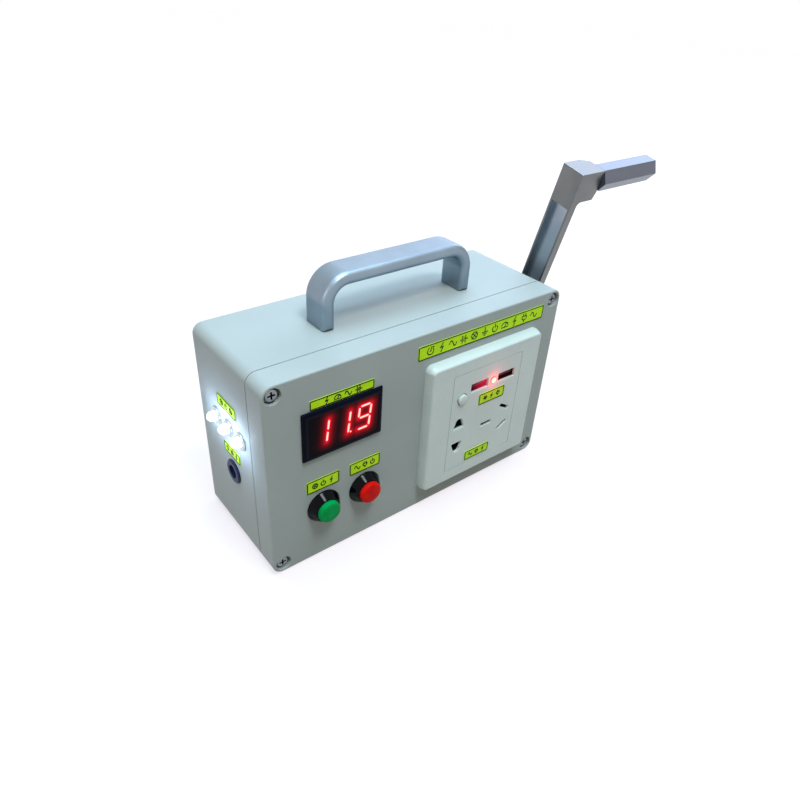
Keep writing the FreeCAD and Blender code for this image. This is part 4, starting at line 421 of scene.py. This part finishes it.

# Lit things: their own light drifts between two colours; the outlets' insides, last, carry painted
# light instead.
litSpecular = 0.2
litFinishes = {
    # A white lamp run hard: the epoxy dome fills with blue white light.
    "epoxyLitWhite": {"dark": "#dcecff", "light": "#ffffff", "rough": 0.1, "driftSize": 2,
                      "power": 12.0},
    # Bars of a lit red display, pale in the middle where the chips sit.
    "barsLitRed": {"dark": "#f50a20", "light": "#ff2a3a", "rough": 0.2, "driftSize": 1,
                   "power": 0.95},
    "barsLitPale": {"dark": "#ffb4a8", "light": "#ffe0d6", "rough": 0.2, "driftSize": 1,
                    "power": 1.0},
    # A small red pilot lamp: warm white core through red resin.
    "pilotLitCore": {"dark": "#ffd9a8", "light": "#fff3dc", "rough": 0.12, "driftSize": 1.2,
                     "power": 1.1},
    "pilotLitRim": {"dark": "#ff2a2a", "light": "#ff6a4c", "rough": 0.12, "driftSize": 1.2,
                    "power": 1.0},
    # The outlets' insides: a painted red glow stands in for the pilot's light from the side and
    # fades into them, over a painted dark shade.
    "nylonPaintedGlowAndShade": {"dark": "#b01030", "light": "#e0244c", "rough": 0.35, "driftSize": 5,
                    "power": 1.0,
                    "fade": {"from": (41.0, plateFace, 77.6), "near": 2.5, "far": 11.5,
                             "rest": 0.03, "base": "#16080e"}},
}
for title, looks in litFinishes.items():
    finish[title], tree, shader, place = startMaterial(
        title, {"Roughness": looks["rough"], "Specular IOR Level": litSpecular,
                "Emission Strength": looks["power"]})
    shade = addNoise(tree, looks["driftSize"], mottle["litDetail"], place)
    ramp = addRamp(tree, shade, looks["dark"], looks["light"])
    tree.links.new(ramp.outputs[0], shader.inputs["Emission Color"])
    shader.inputs["Base Color"].default_value = srgb(looks["dark"])
    if "fade" in looks:
        fade = looks["fade"]
        shader.inputs["Base Color"].default_value = srgb(fade["base"])
        away = addNode(tree, "ShaderNodeVectorMath",
                       {"operation": "DISTANCE", 1: Vector(fade["from"]) * mm}, {0: place})
        left = addRange(tree, away.outputs["Value"], (fade["near"] * mm, fade["far"] * mm),
                        (looks["power"], fade["rest"]))
        tree.links.new(left, shader.inputs["Emission Strength"])

slotOf = {}
for entry in frame["record"]["subparts"]:
    slotOf[entry["node"]] = entry["material_slot"]
    node = cad[entry["node"]]
    node.data.materials.clear()
    node.data.materials.append(finishOfSlot[entry["material_slot"]])
bodyOf = {name: body for body, names in frame["record"]["behaviour"]["bodies"].items()
          for name in names}
print("materials made:", len(finish))


# Pieces whose CAD shape is right get broken edges, smooth rounds and their finish.
dressing = {
    "case_body": {"edge": 0.3, "title": "caseBody"},
    "case_lid": {"edge": 0.3, "title": "caseLid"},
    "top_handle": {"edge": 0.4, "title": "topHandle", "finish": "aluminiumBlastedAnodised"},
    "crank_arm": {"edge": 0.45, "title": "crankArm"},
    "grip": {"edge": 0.45, "title": "crankGrip", "finish": "aluminiumHexBarAnodised"},
    "socket_plate": {"edge": 0.4, "title": "socketPlate"},
    "socket_insert": {"edge": 0.2, "title": "socketInsert", "rims": 0.5},
    "meter_bezel": {"edge": 0.5, "title": "meterBezel", "finish": "absGlossNavy"},
    "dc_socket_body": {"edge": 0.3, "title": "powerSocket", "finish": "nylonMouldedNavy"},
    "led_bezels": {"edge": 0.3, "title": "lampBezels", "finish": "brassChromePlated"},
    "green_button_body": {"edge": 0.45, "title": "greenHousing"},
    "red_button_body": {"edge": 0.45, "title": "redHousing"},
    "lid_screws": {"edge": 0.15, "title": "lidScrews"},
    "hub_screw": {"edge": 0.15, "title": "hubScrew"},
    "usb_shells": {"edge": 0.1, "title": "outletShells"},
    # the tongues carry the painted red glow over dark shade
    "usb_tongues": {"edge": 0.15, "title": "outletTongues", "finish": "nylonPaintedGlowAndShade"},
}
insertFrame = (12.75, 66.25, 23.5, 90.5)  # left, right, foot and top of the insert
socketButton = {"centre": (20.4, plateFace, 73.55), "hole": 3.75, "room": 0.3, "sides": 56,
                "smooth": 50}
rims = {"inset": 1, "flat": 0.02, "steps": 3}


def besideButton(at):
    x, _, z = socketButton["centre"]
    return math.hypot(at.x - x, at.z - z) < socketButton["hole"] + socketButton["room"]


def inInsert(at, sideways, upright):  # inside the insert's outline by these distances
    low, high, under, over = insertFrame
    return low + sideways < at.x < high - sideways and under + upright < at.z < over - upright


def onRim(at):
    return (abs(at.y - plateFace) < rims["flat"] and inInsert(at, rims["inset"], rims["inset"])
            and not besideButton(at))


def roundRims(piece, width):  # the mouths of all holes in the insert's face are broken wide
    openEdit(piece, "EDGE")
    pickEdges(lambda a, b: onRim(a) and onRim(b))
    bpy.ops.mesh.bevel(offset=width * mm, segments=rims["steps"], affect="EDGES")
    closeEdit()


dressed = {}
for name, looks in dressing.items():
    piece = copyNode(name, looks["title"])
    if "rims" in looks:
        roundRims(piece, looks["rims"])
    given = finish[looks["finish"]] if "finish" in looks else finishOfSlot[slotOf[name]]
    piece.data.materials.append(given)
    roundEdges(piece, looks["edge"])
    smoothPiece(piece)
    dressed[name] = settle(piece, bodyOf[name], name, slot=slotOf[name])
print("CAD shapes dressed:", len(dressing))

# Recesses and slots get painted shade inside, black behind a narrow light lip.
insides = {"screwDepth": (-36.2, -34.8),
           "screwPlaces": [(x, z) for x in (-94, 94) for z in (6, 114)],
           "hubDepth": (116.2, 117.7), "hubAxis": (7.5, 60), "driveReach": 2.6,
           "slotLip": 1.5, "slotSide": 0.15, "slotUp": 0.2, "steep": 0.5,
           "shellFront": 0.2, "shellBack": 1.2}


def inScrewSeat(at, out):
    near, far = insides["screwDepth"]
    away = min(math.hypot(at.x - x, at.z - z) for x, z in insides["screwPlaces"])
    return near < at.y < far and away < insides["driveReach"]


def inHubSeat(at, out):
    near, far = insides["hubDepth"]
    y, z = insides["hubAxis"]
    return near < at.x < far and math.hypot(at.y - y, at.z - z) < insides["driveReach"]


def inSlot(at, out):
    return ((at.y > plateFace + insides["slotLip"] or besideButton(at))
            and abs(out.y) < insides["steep"]
            and inInsert(at, insides["slotSide"], insides["slotUp"]))


paintFaces(dressed["lid_screws"], "paintedShadeBlack", inScrewSeat)
paintFaces(dressed["hub_screw"], "paintedShadeBlack", inHubSeat)
openEdit(dressed["socket_insert"])
pickAll()
bpy.ops.mesh.bisect(plane_co=(0, (plateFace + insides["slotLip"]) * mm, 0), plane_no=(0, 1, 0))
closeEdit()
paintFaces(dressed["socket_insert"], "paintedShadeBlack", inSlot)
openEdit(dressed["usb_shells"])  # the outlets' shells sit back behind the insert's face
pickFaces(lambda at, out: at.y < plateFace + insides["shellFront"])
bpy.ops.transform.translate(value=(0, insides["shellBack"] * mm, 0))
closeEdit()
# the shells are painted all over with the red glow over dark shade
paintFaces(dressed["usb_shells"], "nylonPaintedGlowAndShade", lambda at, out: True)
print("recesses darkened")

# Crank arm: the pocket down its inner side gets painted light, and the top edge on that side a
# painted highlight.
armLooks = {"face": 110.0, "pivot": (7.5, 60.0), "lean": 13.3, "reach": 128.1,
            "pocketDeep": 4.0, "pocketSide": 6.45, "pocketFrom": 12.0, "pocketTo": 105.7,
            "slack": 0.1, "flat": 0.05, "level": 0.9, "mouth": 0.2, "steep": 0.5,
            "highlightWide": 0.5, "highlightTilt": 0.2}


def onTheArm(at):  # a point's place up the arm from the crank's axis, and across it
    lean = math.radians(armLooks["lean"])
    y, z = at.y - armLooks["pivot"][0], at.z - armLooks["pivot"][1]
    return z * math.cos(lean) - y * math.sin(lean), z * math.sin(lean) + y * math.cos(lean)


def inThePocket(at, out):
    up, across = onTheArm(at)
    depth = at.x - armLooks["face"]
    if abs(depth - armLooks["pocketDeep"]) < armLooks["flat"]:
        return out.x < -armLooks["level"]
    return (armLooks["mouth"] < depth < armLooks["pocketDeep"] and abs(out.x) < armLooks["steep"]
            and abs(across) < armLooks["pocketSide"] + armLooks["slack"]
            and armLooks["pocketFrom"] < up < armLooks["pocketTo"] + armLooks["slack"])


def onTheHighlightEdge(at, out):
    return (at.x < armLooks["face"] + armLooks["highlightWide"]
            and onTheArm(at)[0] > armLooks["reach"] - armLooks["highlightWide"]
            and out.x < -armLooks["highlightTilt"] and out.z > armLooks["highlightTilt"])


paintFaces(dressed["crank_arm"], "aluminiumPocketPaintedLight", inThePocket)
paintFaces(dressed["crank_arm"], "aluminiumPaintedEdgeHighlight", onTheHighlightEdge)
print("crank arm finished")

# Lamps in the left wall: a turned dome over a body, lit.
lampSizes = {"radius": 2.6, "places": [(-12.0, 75.3), (1.7, 75.3), (15.4, 75.3)], "length": 7,
             "footShare": 0.9, "footRise": 0.3, "shoulder": 3.0, "tip": 5.6, "swing": 88,
             "steps": 7, "sides": 40, "smooth": 40}


def domeRings():
    radius, foot, shoulder = lampSizes["radius"], -lampSizes["length"], lampSizes["shoulder"]
    rings = [(radius * lampSizes["footShare"], foot), (radius, foot + lampSizes["footRise"]),
             (radius, shoulder)]
    for k in range(1, lampSizes["steps"] + 1):
        swing = math.radians(lampSizes["swing"] * k / lampSizes["steps"])
        rings.append((radius * math.cos(swing),
                      shoulder + (lampSizes["tip"] - shoulder) * math.sin(swing)))
    return rings


firstLamp, *otherLamps = lampSizes["places"]
dome = turnPiece("lampDome", (leftWall, *firstLamp), "left", domeRings(), lampSizes["sides"])
domes = joinPieces("lampDomes", [dome] + [copyPiece(dome, (0, y - firstLamp[0], 0))
                                          for y, z in otherLamps])
domes.data.materials.clear()
domes.data.materials.append(finish["epoxyLitWhite"])
smoothPiece(domes, lampSizes["smooth"])
settle(domes, "case", "led_domes", slot="lens_clear")

# Pilot lamp between the outlets: a pale core in a red rim, set into the insert.
pilot = {"centre": (44.2, plateFace, 78.15), "core": 0.3, "sides": 40, "smooth": 40,
         "rings": [(2.0, -15.0), (2.0, 0.1), (1.85, 0.35), (1.4, 0.5), (0.2, 0.5)]}
lamp = turnPiece("pilotLamp", pilot["centre"], "front", pilot["rings"], pilot["sides"])
lamp.data.materials.append(finish["pilotLitRim"])
paintFaces(lamp, "pilotLitCore", lambda at, out: at.y < plateFace - pilot["core"])
smoothPiece(lamp, pilot["smooth"])
settle(lamp, "case", "socket_led", slot="lens_red")
print("lamps made")

# Push button caps: turned, with a soft rim and a faintly crowned face.
cap = {"height": 35, "pieces": {"green": (-68.5, "cap_green"), "red": (-42.0, "cap_red")},
       "sides": 72, "smooth": 40,
       "rings": [(3.25, -13.2), (3.25, 1.4), (6.95, 1.4), (6.95, 3.35), (6.5, 3.35), (6.5, 6.55),
                 (6.4, 7.0), (6.15, 7.35), (5.7, 7.62), (4.8, 7.82), (3.2, 7.93), (1.5, 7.98),
                 (0.2, 8.0)]}
for colour, (x, slotName) in cap["pieces"].items():
    pusher = turnPiece(colour + "Cap", (x, lidFace, cap["height"]), "front", cap["rings"],
                       cap["sides"])
    pusher.data.materials.append(finishOfSlot[slotName])
    smoothPiece(pusher, cap["smooth"])
    settle(pusher, bodyOf[colour + "_button_cap"], colour + "_button_cap", slot=slotName)

# White button beside the outlets: a plunger with a crowned head in a narrow open gap.
buttonRings = [(3.3, -10.0), (3.3, 0.65), (3.15, 1.1), (2.8, 1.35), (2.0, 1.52), (0.2, 1.58)]
plunger = turnPiece("socketButton", socketButton["centre"], "front", buttonRings,
                    socketButton["sides"])
plunger.data.materials.append(finishOfSlot["plate_white"])
smoothPiece(plunger, socketButton["smooth"])
settle(plunger, bodyOf["socket_button"], "socket_button", slot="plate_white")


# Flat blanks stand upright: a front one looks along -Y, a left one along -X.
def standing(centre, facing, spin=0.0):
    upright = Matrix.Rotation(math.pi / 2, 4, "X")
    turn = {"front": upright, "left": Matrix.Rotation(-math.pi / 2, 4, "Z") @ upright}[facing]
    return Matrix.Translation(Vector(centre) * mm) @ turn @ Matrix.Rotation(spin, 4, "Z")


def standUp(blank, centre, size, facing, spin=0.0):
    blank.matrix_world = (standing(centre, facing, spin)
                          @ Matrix.Diagonal((size[0] * mm, size[1] * mm, 1, 1)))
    applyPlace()
    return blank


def addBlank(centre, size, facing, spin=0.0):
    deselectAll()
    bpy.ops.mesh.primitive_plane_add(size=1)
    return standUp(bpy.context.object, centre, size, facing, spin)


def pullOut(piece, step):  # pulls the flat's face out and closes its sides
    openEdit(piece)
    pickAll()
    bpy.ops.mesh.extrude_region_move(TRANSFORM_OT_translate={"value": step})
    pickAll()
    bpy.ops.mesh.normals_make_consistent(inside=False)
    closeEdit()


# Labels: the CAD film carries a printed border and a row of plain signs in one ink.
labelSizes = {"film": 0.3, "ink": 0.04, "border": 0.7, "margin": 0.1, "corner": 0.75,
              "cornerSteps": 3, "stroke": 0.62, "overlap": 0.8}
onLid = lidFace - labelSizes["film"]
onPlate = plateFace - labelSizes["film"]
onWall = leftWall - labelSizes["film"]
labels = [
    {"at": (38.2, onLid, 108.8), "size": (95.5, 8.6), "facing": "front", "pitch": 7.9,
     "tall": 5.2, "signs": ["crank", "bolt", "wave", "battery", "lamp", "earth", "power", "meter",
                            "bolt", "plug", "wave"]},
    {"at": (-56.4, onLid, 101.7), "size": (38, 5.6), "facing": "front", "pitch": 6.2,
     "tall": 3.9, "signs": ["bolt", "meter", "wave", "battery"]},
    {"at": (-68.5, onLid, 51), "size": (20, 8), "facing": "front", "pitch": 5.0,
     "tall": 3.6, "signs": ["lamp", "power", "bolt"]},
    {"at": (-42, onLid, 51), "size": (20, 8), "facing": "front", "pitch": 5.0,
     "tall": 3.6, "signs": ["wave", "plug", "power"]},
    {"at": (44.2, onPlate, 67.85), "size": (20.5, 7.6), "facing": "front", "pitch": 5.2,
     "tall": 3.2, "signs": ["battery", "bolt", "plug"]},
    {"at": (38, onPlate, 28.65), "size": (19.8, 6.7), "facing": "front", "pitch": 5.2,
     "tall": 3.2, "signs": ["wave", "plug", "bolt"]},
    {"at": (onWall, 1.7, 88.5), "size": (20.5, 6.8), "facing": "left", "pitch": 5.2,
     "tall": 3.6, "signs": ["lamp", "power", "lamp"]},
    {"at": (onWall, 0.5, 59.8), "size": (18, 6.5), "facing": "left", "pitch": 5.0,
     "tall": 3.4, "signs": ["plug", "battery", "bolt"]},
]


def arc(x, y, radius, start, end, steps):
    angles = [math.radians(start + (end - start) * k / steps) for k in range(steps + 1)]
    return [(x + radius * math.cos(a), y + radius * math.sin(a)) for a in angles]


# Each sign is a few pen strokes in a field one high, its middle at 0, 0.
signStrokes = {
    "bolt": [[(0.12, 0.5), (-0.2, -0.02), (0.16, 0.06), (-0.1, -0.5)]],
    "wave": [[(-0.5, 0), (-0.38, 0.26), (-0.25, 0.34), (-0.12, 0.24), (0.12, -0.24),
              (0.25, -0.34), (0.38, -0.26), (0.5, 0)]],
    "lamp": [arc(0, 0, 0.42, 0, 360, 10), [(-0.3, -0.3), (0.3, 0.3)], [(-0.3, 0.3), (0.3, -0.3)]],
    "power": [arc(0, -0.06, 0.38, 130, 410, 8), [(0, 0.5), (0, 0.05)]],
    "battery": [[(-0.5, 0), (-0.22, 0)], [(-0.22, 0.42), (-0.22, -0.42)], [(0, 0.22), (0, -0.22)],
                [(0.2, 0.42), (0.2, -0.42)], [(0.2, 0), (0.5, 0)]],
    "plug": [[(-0.18, 0.5), (-0.18, 0.2)], [(0.18, 0.5), (0.18, 0.2)],
             [(-0.34, 0.2), (0.34, 0.2), (0.34, -0.05), (0.14, -0.25), (-0.14, -0.25),
              (-0.34, -0.05), (-0.34, 0.2)], [(0, -0.25), (0, -0.5)]],
    "earth": [[(0, 0.5), (0, -0.02)], [(-0.4, -0.02), (0.4, -0.02)],
              [(-0.25, -0.22), (0.25, -0.22)], [(-0.1, -0.42), (0.1, -0.42)]],
    "meter": [arc(0, -0.22, 0.5, 15, 165, 7), [(0, -0.22), (0.24, 0.2)],
              [(-0.5, -0.32), (0.5, -0.32)]],
    "crank": [arc(0, 0, 0.42, 120, 400, 8), [(0, 0), (0.1, 0.42), (0.44, 0.42)],
              [(-0.08, 0), (0.08, 0)]],
}


def onLabel(label, along, up):  # a place on the label, counted from its middle
    x, y, z = label["at"]
    return (x + along, y, z + up) if label["facing"] == "front" else (x, y - along, z + up)


def drawStroke(label, start, end):
    length = math.dist(start, end) + labelSizes["stroke"] * labelSizes["overlap"]
    middle = onLabel(label, (start[0] + end[0]) / 2, (start[1] + end[1]) / 2)
    spin = math.atan2(end[1] - start[1], end[0] - start[0])
    return addBlank(middle, (length, labelSizes["stroke"]), label["facing"], spin)


def drawSign(label, kind, along):
    tall = label["tall"]
    strokes = []
    for line in signStrokes[kind]:
        points = [(along + x * tall, y * tall) for x, y in line]
        strokes += [drawStroke(label, a, b) for a, b in zip(points, points[1:])]
    return joinPieces(kind + "Sign", strokes)


def drawBorder(label):  # a blank with round corners, inset once, keeps only its rim
    size = [side - 2 * labelSizes["margin"] for side in label["size"]]
    border = addBlank(label["at"], size, label["facing"])
    openEdit(border, "VERT")
    pickAll()
    bpy.ops.mesh.bevel(offset=labelSizes["corner"] * mm, segments=labelSizes["cornerSteps"],
                       affect="VERTICES")
    bpy.ops.mesh.select_mode(type="FACE")
    pickAll()
    bpy.ops.mesh.inset(thickness=labelSizes["border"] * mm, depth=0)
    bpy.ops.mesh.delete(type="FACE")
    closeEdit()
    return border


prints = []
for label in labels:
    first = -label["pitch"] * (len(label["signs"]) - 1) / 2
    inked = [drawBorder(label)]
    inked += [drawSign(label, kind, first + k * label["pitch"])
              for k, kind in enumerate(label["signs"])]
    sheet = joinPieces("labelInk", inked)
    pullOut(sheet, outOf[label["facing"]] * labelSizes["ink"] * mm)
    prints.append(sheet)
ink = joinPieces("labelPrints", prints)
ink.data.materials.append(finish["inkPrintedDark"])
settle(ink, "case", slot="label_lime")
print("labels printed:", len(labels))

# Meter: three seven bar digits, each bar a red edge round a pale middle.
meter = {"window": (-56.4, -39.2, 84.1), "size": (42, 23), "thick": 1.2, "cells": (105, 58),
         "digits": [(-74.1, "bc"), (-61.4, "bc"), (-48.7, "abcdfg")], "low": 78.0, "wide": 7.1,
         "tall": 13.6, "slant": 7, "bar": 1.8, "core": 0.95, "coreShorter": 0.6, "gap": 0.35,
         "point": 0.45, "dot": (-52.7, 78.6), "dotSize": 1.5, "lift": 0.05, "redShare": 0.4,
         "bright": 0.5, "spread": 1.25}
redLift = meter["lift"] * meter["redShare"]


def digitBars(left):  # name, middle, length and turn of each bar, slanted
    wide, half = meter["wide"], meter["tall"] / 2
    lean = math.tan(math.radians(meter["slant"]))

    def at(x, z):
        return left + x + z * lean, meter["low"] + z

    level = wide - 2 * meter["gap"]
    upright = half - 2 * meter["gap"]
    turnUp = math.radians(90 - meter["slant"])
    return {"a": (at(wide / 2, 2 * half), level, 0), "g": (at(wide / 2, half), level, 0),
            "d": (at(wide / 2, 0), level, 0), "b": (at(wide, 1.5 * half), upright, turnUp),
            "c": (at(wide, 0.5 * half), upright, turnUp), "e": (at(0, 0.5 * half), upright, turnUp),
            "f": (at(0, 1.5 * half), upright, turnUp)}


def addBar(middle, length, turned, width, lift):  # a blank with its four corners cut to points
    x, z = middle
    face = meter["window"][1] - lift
    bar = addBlank((x, face, z), (length, width), "front", turned)
    openEdit(bar, "VERT")
    pickAll()
    bpy.ops.mesh.bevel(offset=width * meter["point"] * mm, segments=1, affect="VERTICES")
    closeEdit()
    return bar


litBars, paleBars, litLines = [], [], []
for left, lit in meter["digits"]:
    for name, (middle, length, turned) in digitBars(left).items():
        if name in lit:
            litBars.append(addBar(middle, length, turned, meter["bar"], redLift))
            paleBars.append(addBar(middle, length - meter["coreShorter"], turned, meter["core"],
                                   meter["lift"]))
            reach = Vector((math.cos(turned), math.sin(turned))) * length / 2
            litLines.append((Vector(middle) - reach, Vector(middle) + reach))
for size, lift, heap in ((meter["dotSize"], redLift, litBars),
                         (meter["core"], meter["lift"], paleBars)):
    heap.append(addBar(meter["dot"], size, 0, size, lift))
litLines.append((Vector(meter["dot"]), Vector(meter["dot"])))
for title, bars in (("barsLitRed", litBars), ("barsLitPale", paleBars)):
    digits = joinPieces(title.replace("bars", "digit"), bars)
    pullOut(digits, outOf["front"] * redLift * mm)
    digits.data.materials.append(finish[title])
    settle(digits, "case", slot="window_dark")


def glowAt(at):  # painted glow that a point of the window gets from the nearest lit bar
    nearest = math.inf
    for start, end in litLines:
        along = end - start
        share = max(0, min(1, (at - start).dot(along) / max(along.dot(along), 1e-9)))
        nearest = min(nearest, (start + along * share - at).length)
    return math.exp(-max(0, nearest - meter["bright"]) / meter["spread"])


deselectAll()
bpy.ops.mesh.primitive_grid_add(x_subdivisions=meter["cells"][0],
                                y_subdivisions=meter["cells"][1], size=1)
window = standUp(bpy.context.object, meter["window"], meter["size"], "front")
window.name = "meterWindow"
pullOut(window, (0, meter["thick"] * mm, 0))
glow = window.data.attributes.new(name="glow", type="FLOAT", domain="POINT")
for vertex in window.data.vertices:
    at = Vector((vertex.co.x / mm, vertex.co.z / mm))
    onFace = vertex.co.y / mm < meter["window"][1] + meter["thick"] / 2
    glow.data[vertex.index].value = glowAt(at) if onFace else 0
window.data.materials.append(finish["acrylicSmokedGlow"])
settle(window, "case", "meter_window", slot="window_dark")
print("meter made")

camera = {"place": (-207.14, -262.17, 283.54), "azimuth": 39.81, "elevation": 34.23, "roll": 3.55,
          "focal": 29.983, "sensor": 36, "nearest": 0.01}
deselectAll()
bpy.ops.object.camera_add(location=Vector(camera["place"]) * mm)
view = bpy.context.object
view.name = "photoView"
turn = (Matrix.Rotation(-math.radians(camera["azimuth"]), 4, "Z")
        @ Matrix.Rotation(math.radians(90 - camera["elevation"]), 4, "X")
        @ Matrix.Rotation(math.radians(camera["roll"]), 4, "Z"))
view.rotation_euler = turn.to_euler()
view.data.lens = camera["focal"]
view.data.sensor_width = camera["sensor"]
view.data.clip_start = camera["nearest"]
bpy.context.scene.camera = view


def addLight(name, kind, place, looks):
    deselectAll()
    bpy.ops.object.light_add(type=kind, location=place)
    light = bpy.context.object
    light.name = name
    light.data.energy = looks["power"]
    light.data.color = srgb(looks["colour"])[:3]
    return light


# Soft boxes: a wide cool one overhead, and a smaller one in front of it that shapes the front and
# gives the glints. The metal's top faces mirror two behind on the right.
studio = {
    "top": {"place": (0.06, 0.05, 1.12), "aim": (0, 0, 0.06), "size": (1.0, 0.8), "power": 11,
            "colour": "#c2e5fc"},
    "key": {"place": (-0.02, -0.5, 1.14), "aim": (0, 0, 0.06), "size": (0.28, 0.28), "power": 7.5,
            "colour": "#eef8f8"},
    "left": {"place": (-1.1, -0.1, 0.5), "aim": (0, 0, 0.06), "size": (0.6, 0.6), "power": 2.6,
             "colour": "#f3f2f6"},
    "back": {"place": (0.72, 0.95, 0.62), "aim": (0, 0, 0.15), "size": (0.7, 0.6), "power": 1.7,
             "colour": "#cfe0ff"},
    "right": {"place": (1.12, 0.5, 0.78), "aim": (0.1, 0, 0.18), "size": (0.7, 0.7), "power": 5.0,
              "colour": "#c9dcff"},
}
for name, looks in studio.items():
    light = addLight(name + "Softbox", "AREA", looks["place"], looks)
    light.data.shape = "RECTANGLE"
    light.data.size, light.data.size_y = looks["size"]
    aim = Vector(looks["aim"]) - Vector(looks["place"])
    light.rotation_euler = aim.to_track_quat("-Z", "Y").to_euler()

# Light that the part's own lamps throw on what is round them.
lampAhead = -108.5
spill = {"lampSpill%d" % k: {"place": (lampAhead, *place), "radius": 2.5, "power": 0.013,
                             "colour": "#bcd8ff"} for k, place in enumerate(lampSizes["places"])}
spill["pilotSpill"] = {"place": (44.2, -48.0, 78.4), "radius": 1.0, "power": 0.002,
                       "colour": "#ff2a30"}
for name, looks in spill.items():
    light = addLight(name, "POINT", Vector(looks["place"]) * mm, looks)
    light.data.shadow_soft_size = looks["radius"] * mm
    light.visible_camera = False
    light.visible_glossy = False

# The room: dim at the sides, brighter overhead; white where the camera or a mirror looks.
roomLight = {"low": "#b09c80", "mid": "#b1aea6", "midAt": 0.45, "high": "#d3e9fb",
             "strength": 0.33}
world = bpy.data.worlds.new("studioWhite")
bpy.context.scene.world = world
sky = clearTree(world)
height = addNode(sky, "ShaderNodeSeparateXYZ", {},
                 {0: addNode(sky, "ShaderNodeTexCoord").outputs["Generated"]})
ramp = addRamp(sky, height.outputs["Z"], roomLight["low"], roomLight["high"])
ramp.color_ramp.elements.new(roomLight["midAt"]).color = srgb(roomLight["mid"])
room = addNode(sky, "ShaderNodeBackground", {"Strength": roomLight["strength"]},
               {"Color": ramp.outputs[0]})
seen = addNode(sky, "ShaderNodeBackground", {"Color": (1, 1, 1, 1), "Strength": 1.0})


def seenDirectly(tree):  # 1 where the camera looks, in a mirror or through glass too
    ray = addNode(tree, "ShaderNodeLightPath")
    either = addNode(tree, "ShaderNodeMath", {"operation": "MAXIMUM"},
                     {0: ray.outputs["Is Camera Ray"], 1: ray.outputs["Is Glossy Ray"]})
    return addNode(tree, "ShaderNodeMath", {"operation": "MAXIMUM"},
                   {0: either.outputs[0], 1: ray.outputs["Is Transmission Ray"]}).outputs[0]


mix = addNode(sky, "ShaderNodeMixShader", {},
              {0: seenDirectly(sky), 1: room.outputs[0], 2: seen.outputs[0]})
addNode(sky, "ShaderNodeOutputWorld", links={"Surface": mix.outputs[0]})

# Floor: pale grey to the light, white to the eye, whiter still with distance so no horizon shows.
floorLooks = {"size": 6, "below": 0.0005, "colour": "#958f84", "rough": 0.8, "specular": 0.2,
              "glow": "#f4f1fa", "distance": (0.4, 1.0), "strength": (0.79, 1.0)}
deselectAll()
bpy.ops.mesh.primitive_plane_add(size=floorLooks["size"], location=(0, 0, -floorLooks["below"]))
floor = bpy.context.object
floor.name = "studioFloor"
material = bpy.data.materials.new("vinylSweepPale")
tree = clearTree(material)
matt = addNode(tree, "ShaderNodeBsdfPrincipled",
               {"Base Color": srgb(floorLooks["colour"]), "Roughness": floorLooks["rough"],
                "Specular IOR Level": floorLooks["specular"]})
place = addNode(tree, "ShaderNodeTexCoord").outputs["Object"]
away = addNode(tree, "ShaderNodeVectorMath", {"operation": "LENGTH"}, {0: place})
lift = addRange(tree, away.outputs["Value"], floorLooks["distance"], floorLooks["strength"])
shine = addNode(tree, "ShaderNodeEmission", {"Color": srgb(floorLooks["glow"])},
                {"Strength": lift})
addShader = addNode(tree, "ShaderNodeAddShader", {}, {0: matt.outputs[0], 1: shine.outputs[0]})
mix = addNode(tree, "ShaderNodeMixShader", {},
              {0: seenDirectly(tree), 1: matt.outputs[0], 2: addShader.outputs[0]})
addNode(tree, "ShaderNodeOutputMaterial", links={"Surface": mix.outputs[0]})
floor.data.materials.append(material)
bpy.context.scene.view_settings.view_transform = "Standard"
print("camera, light and floor set")
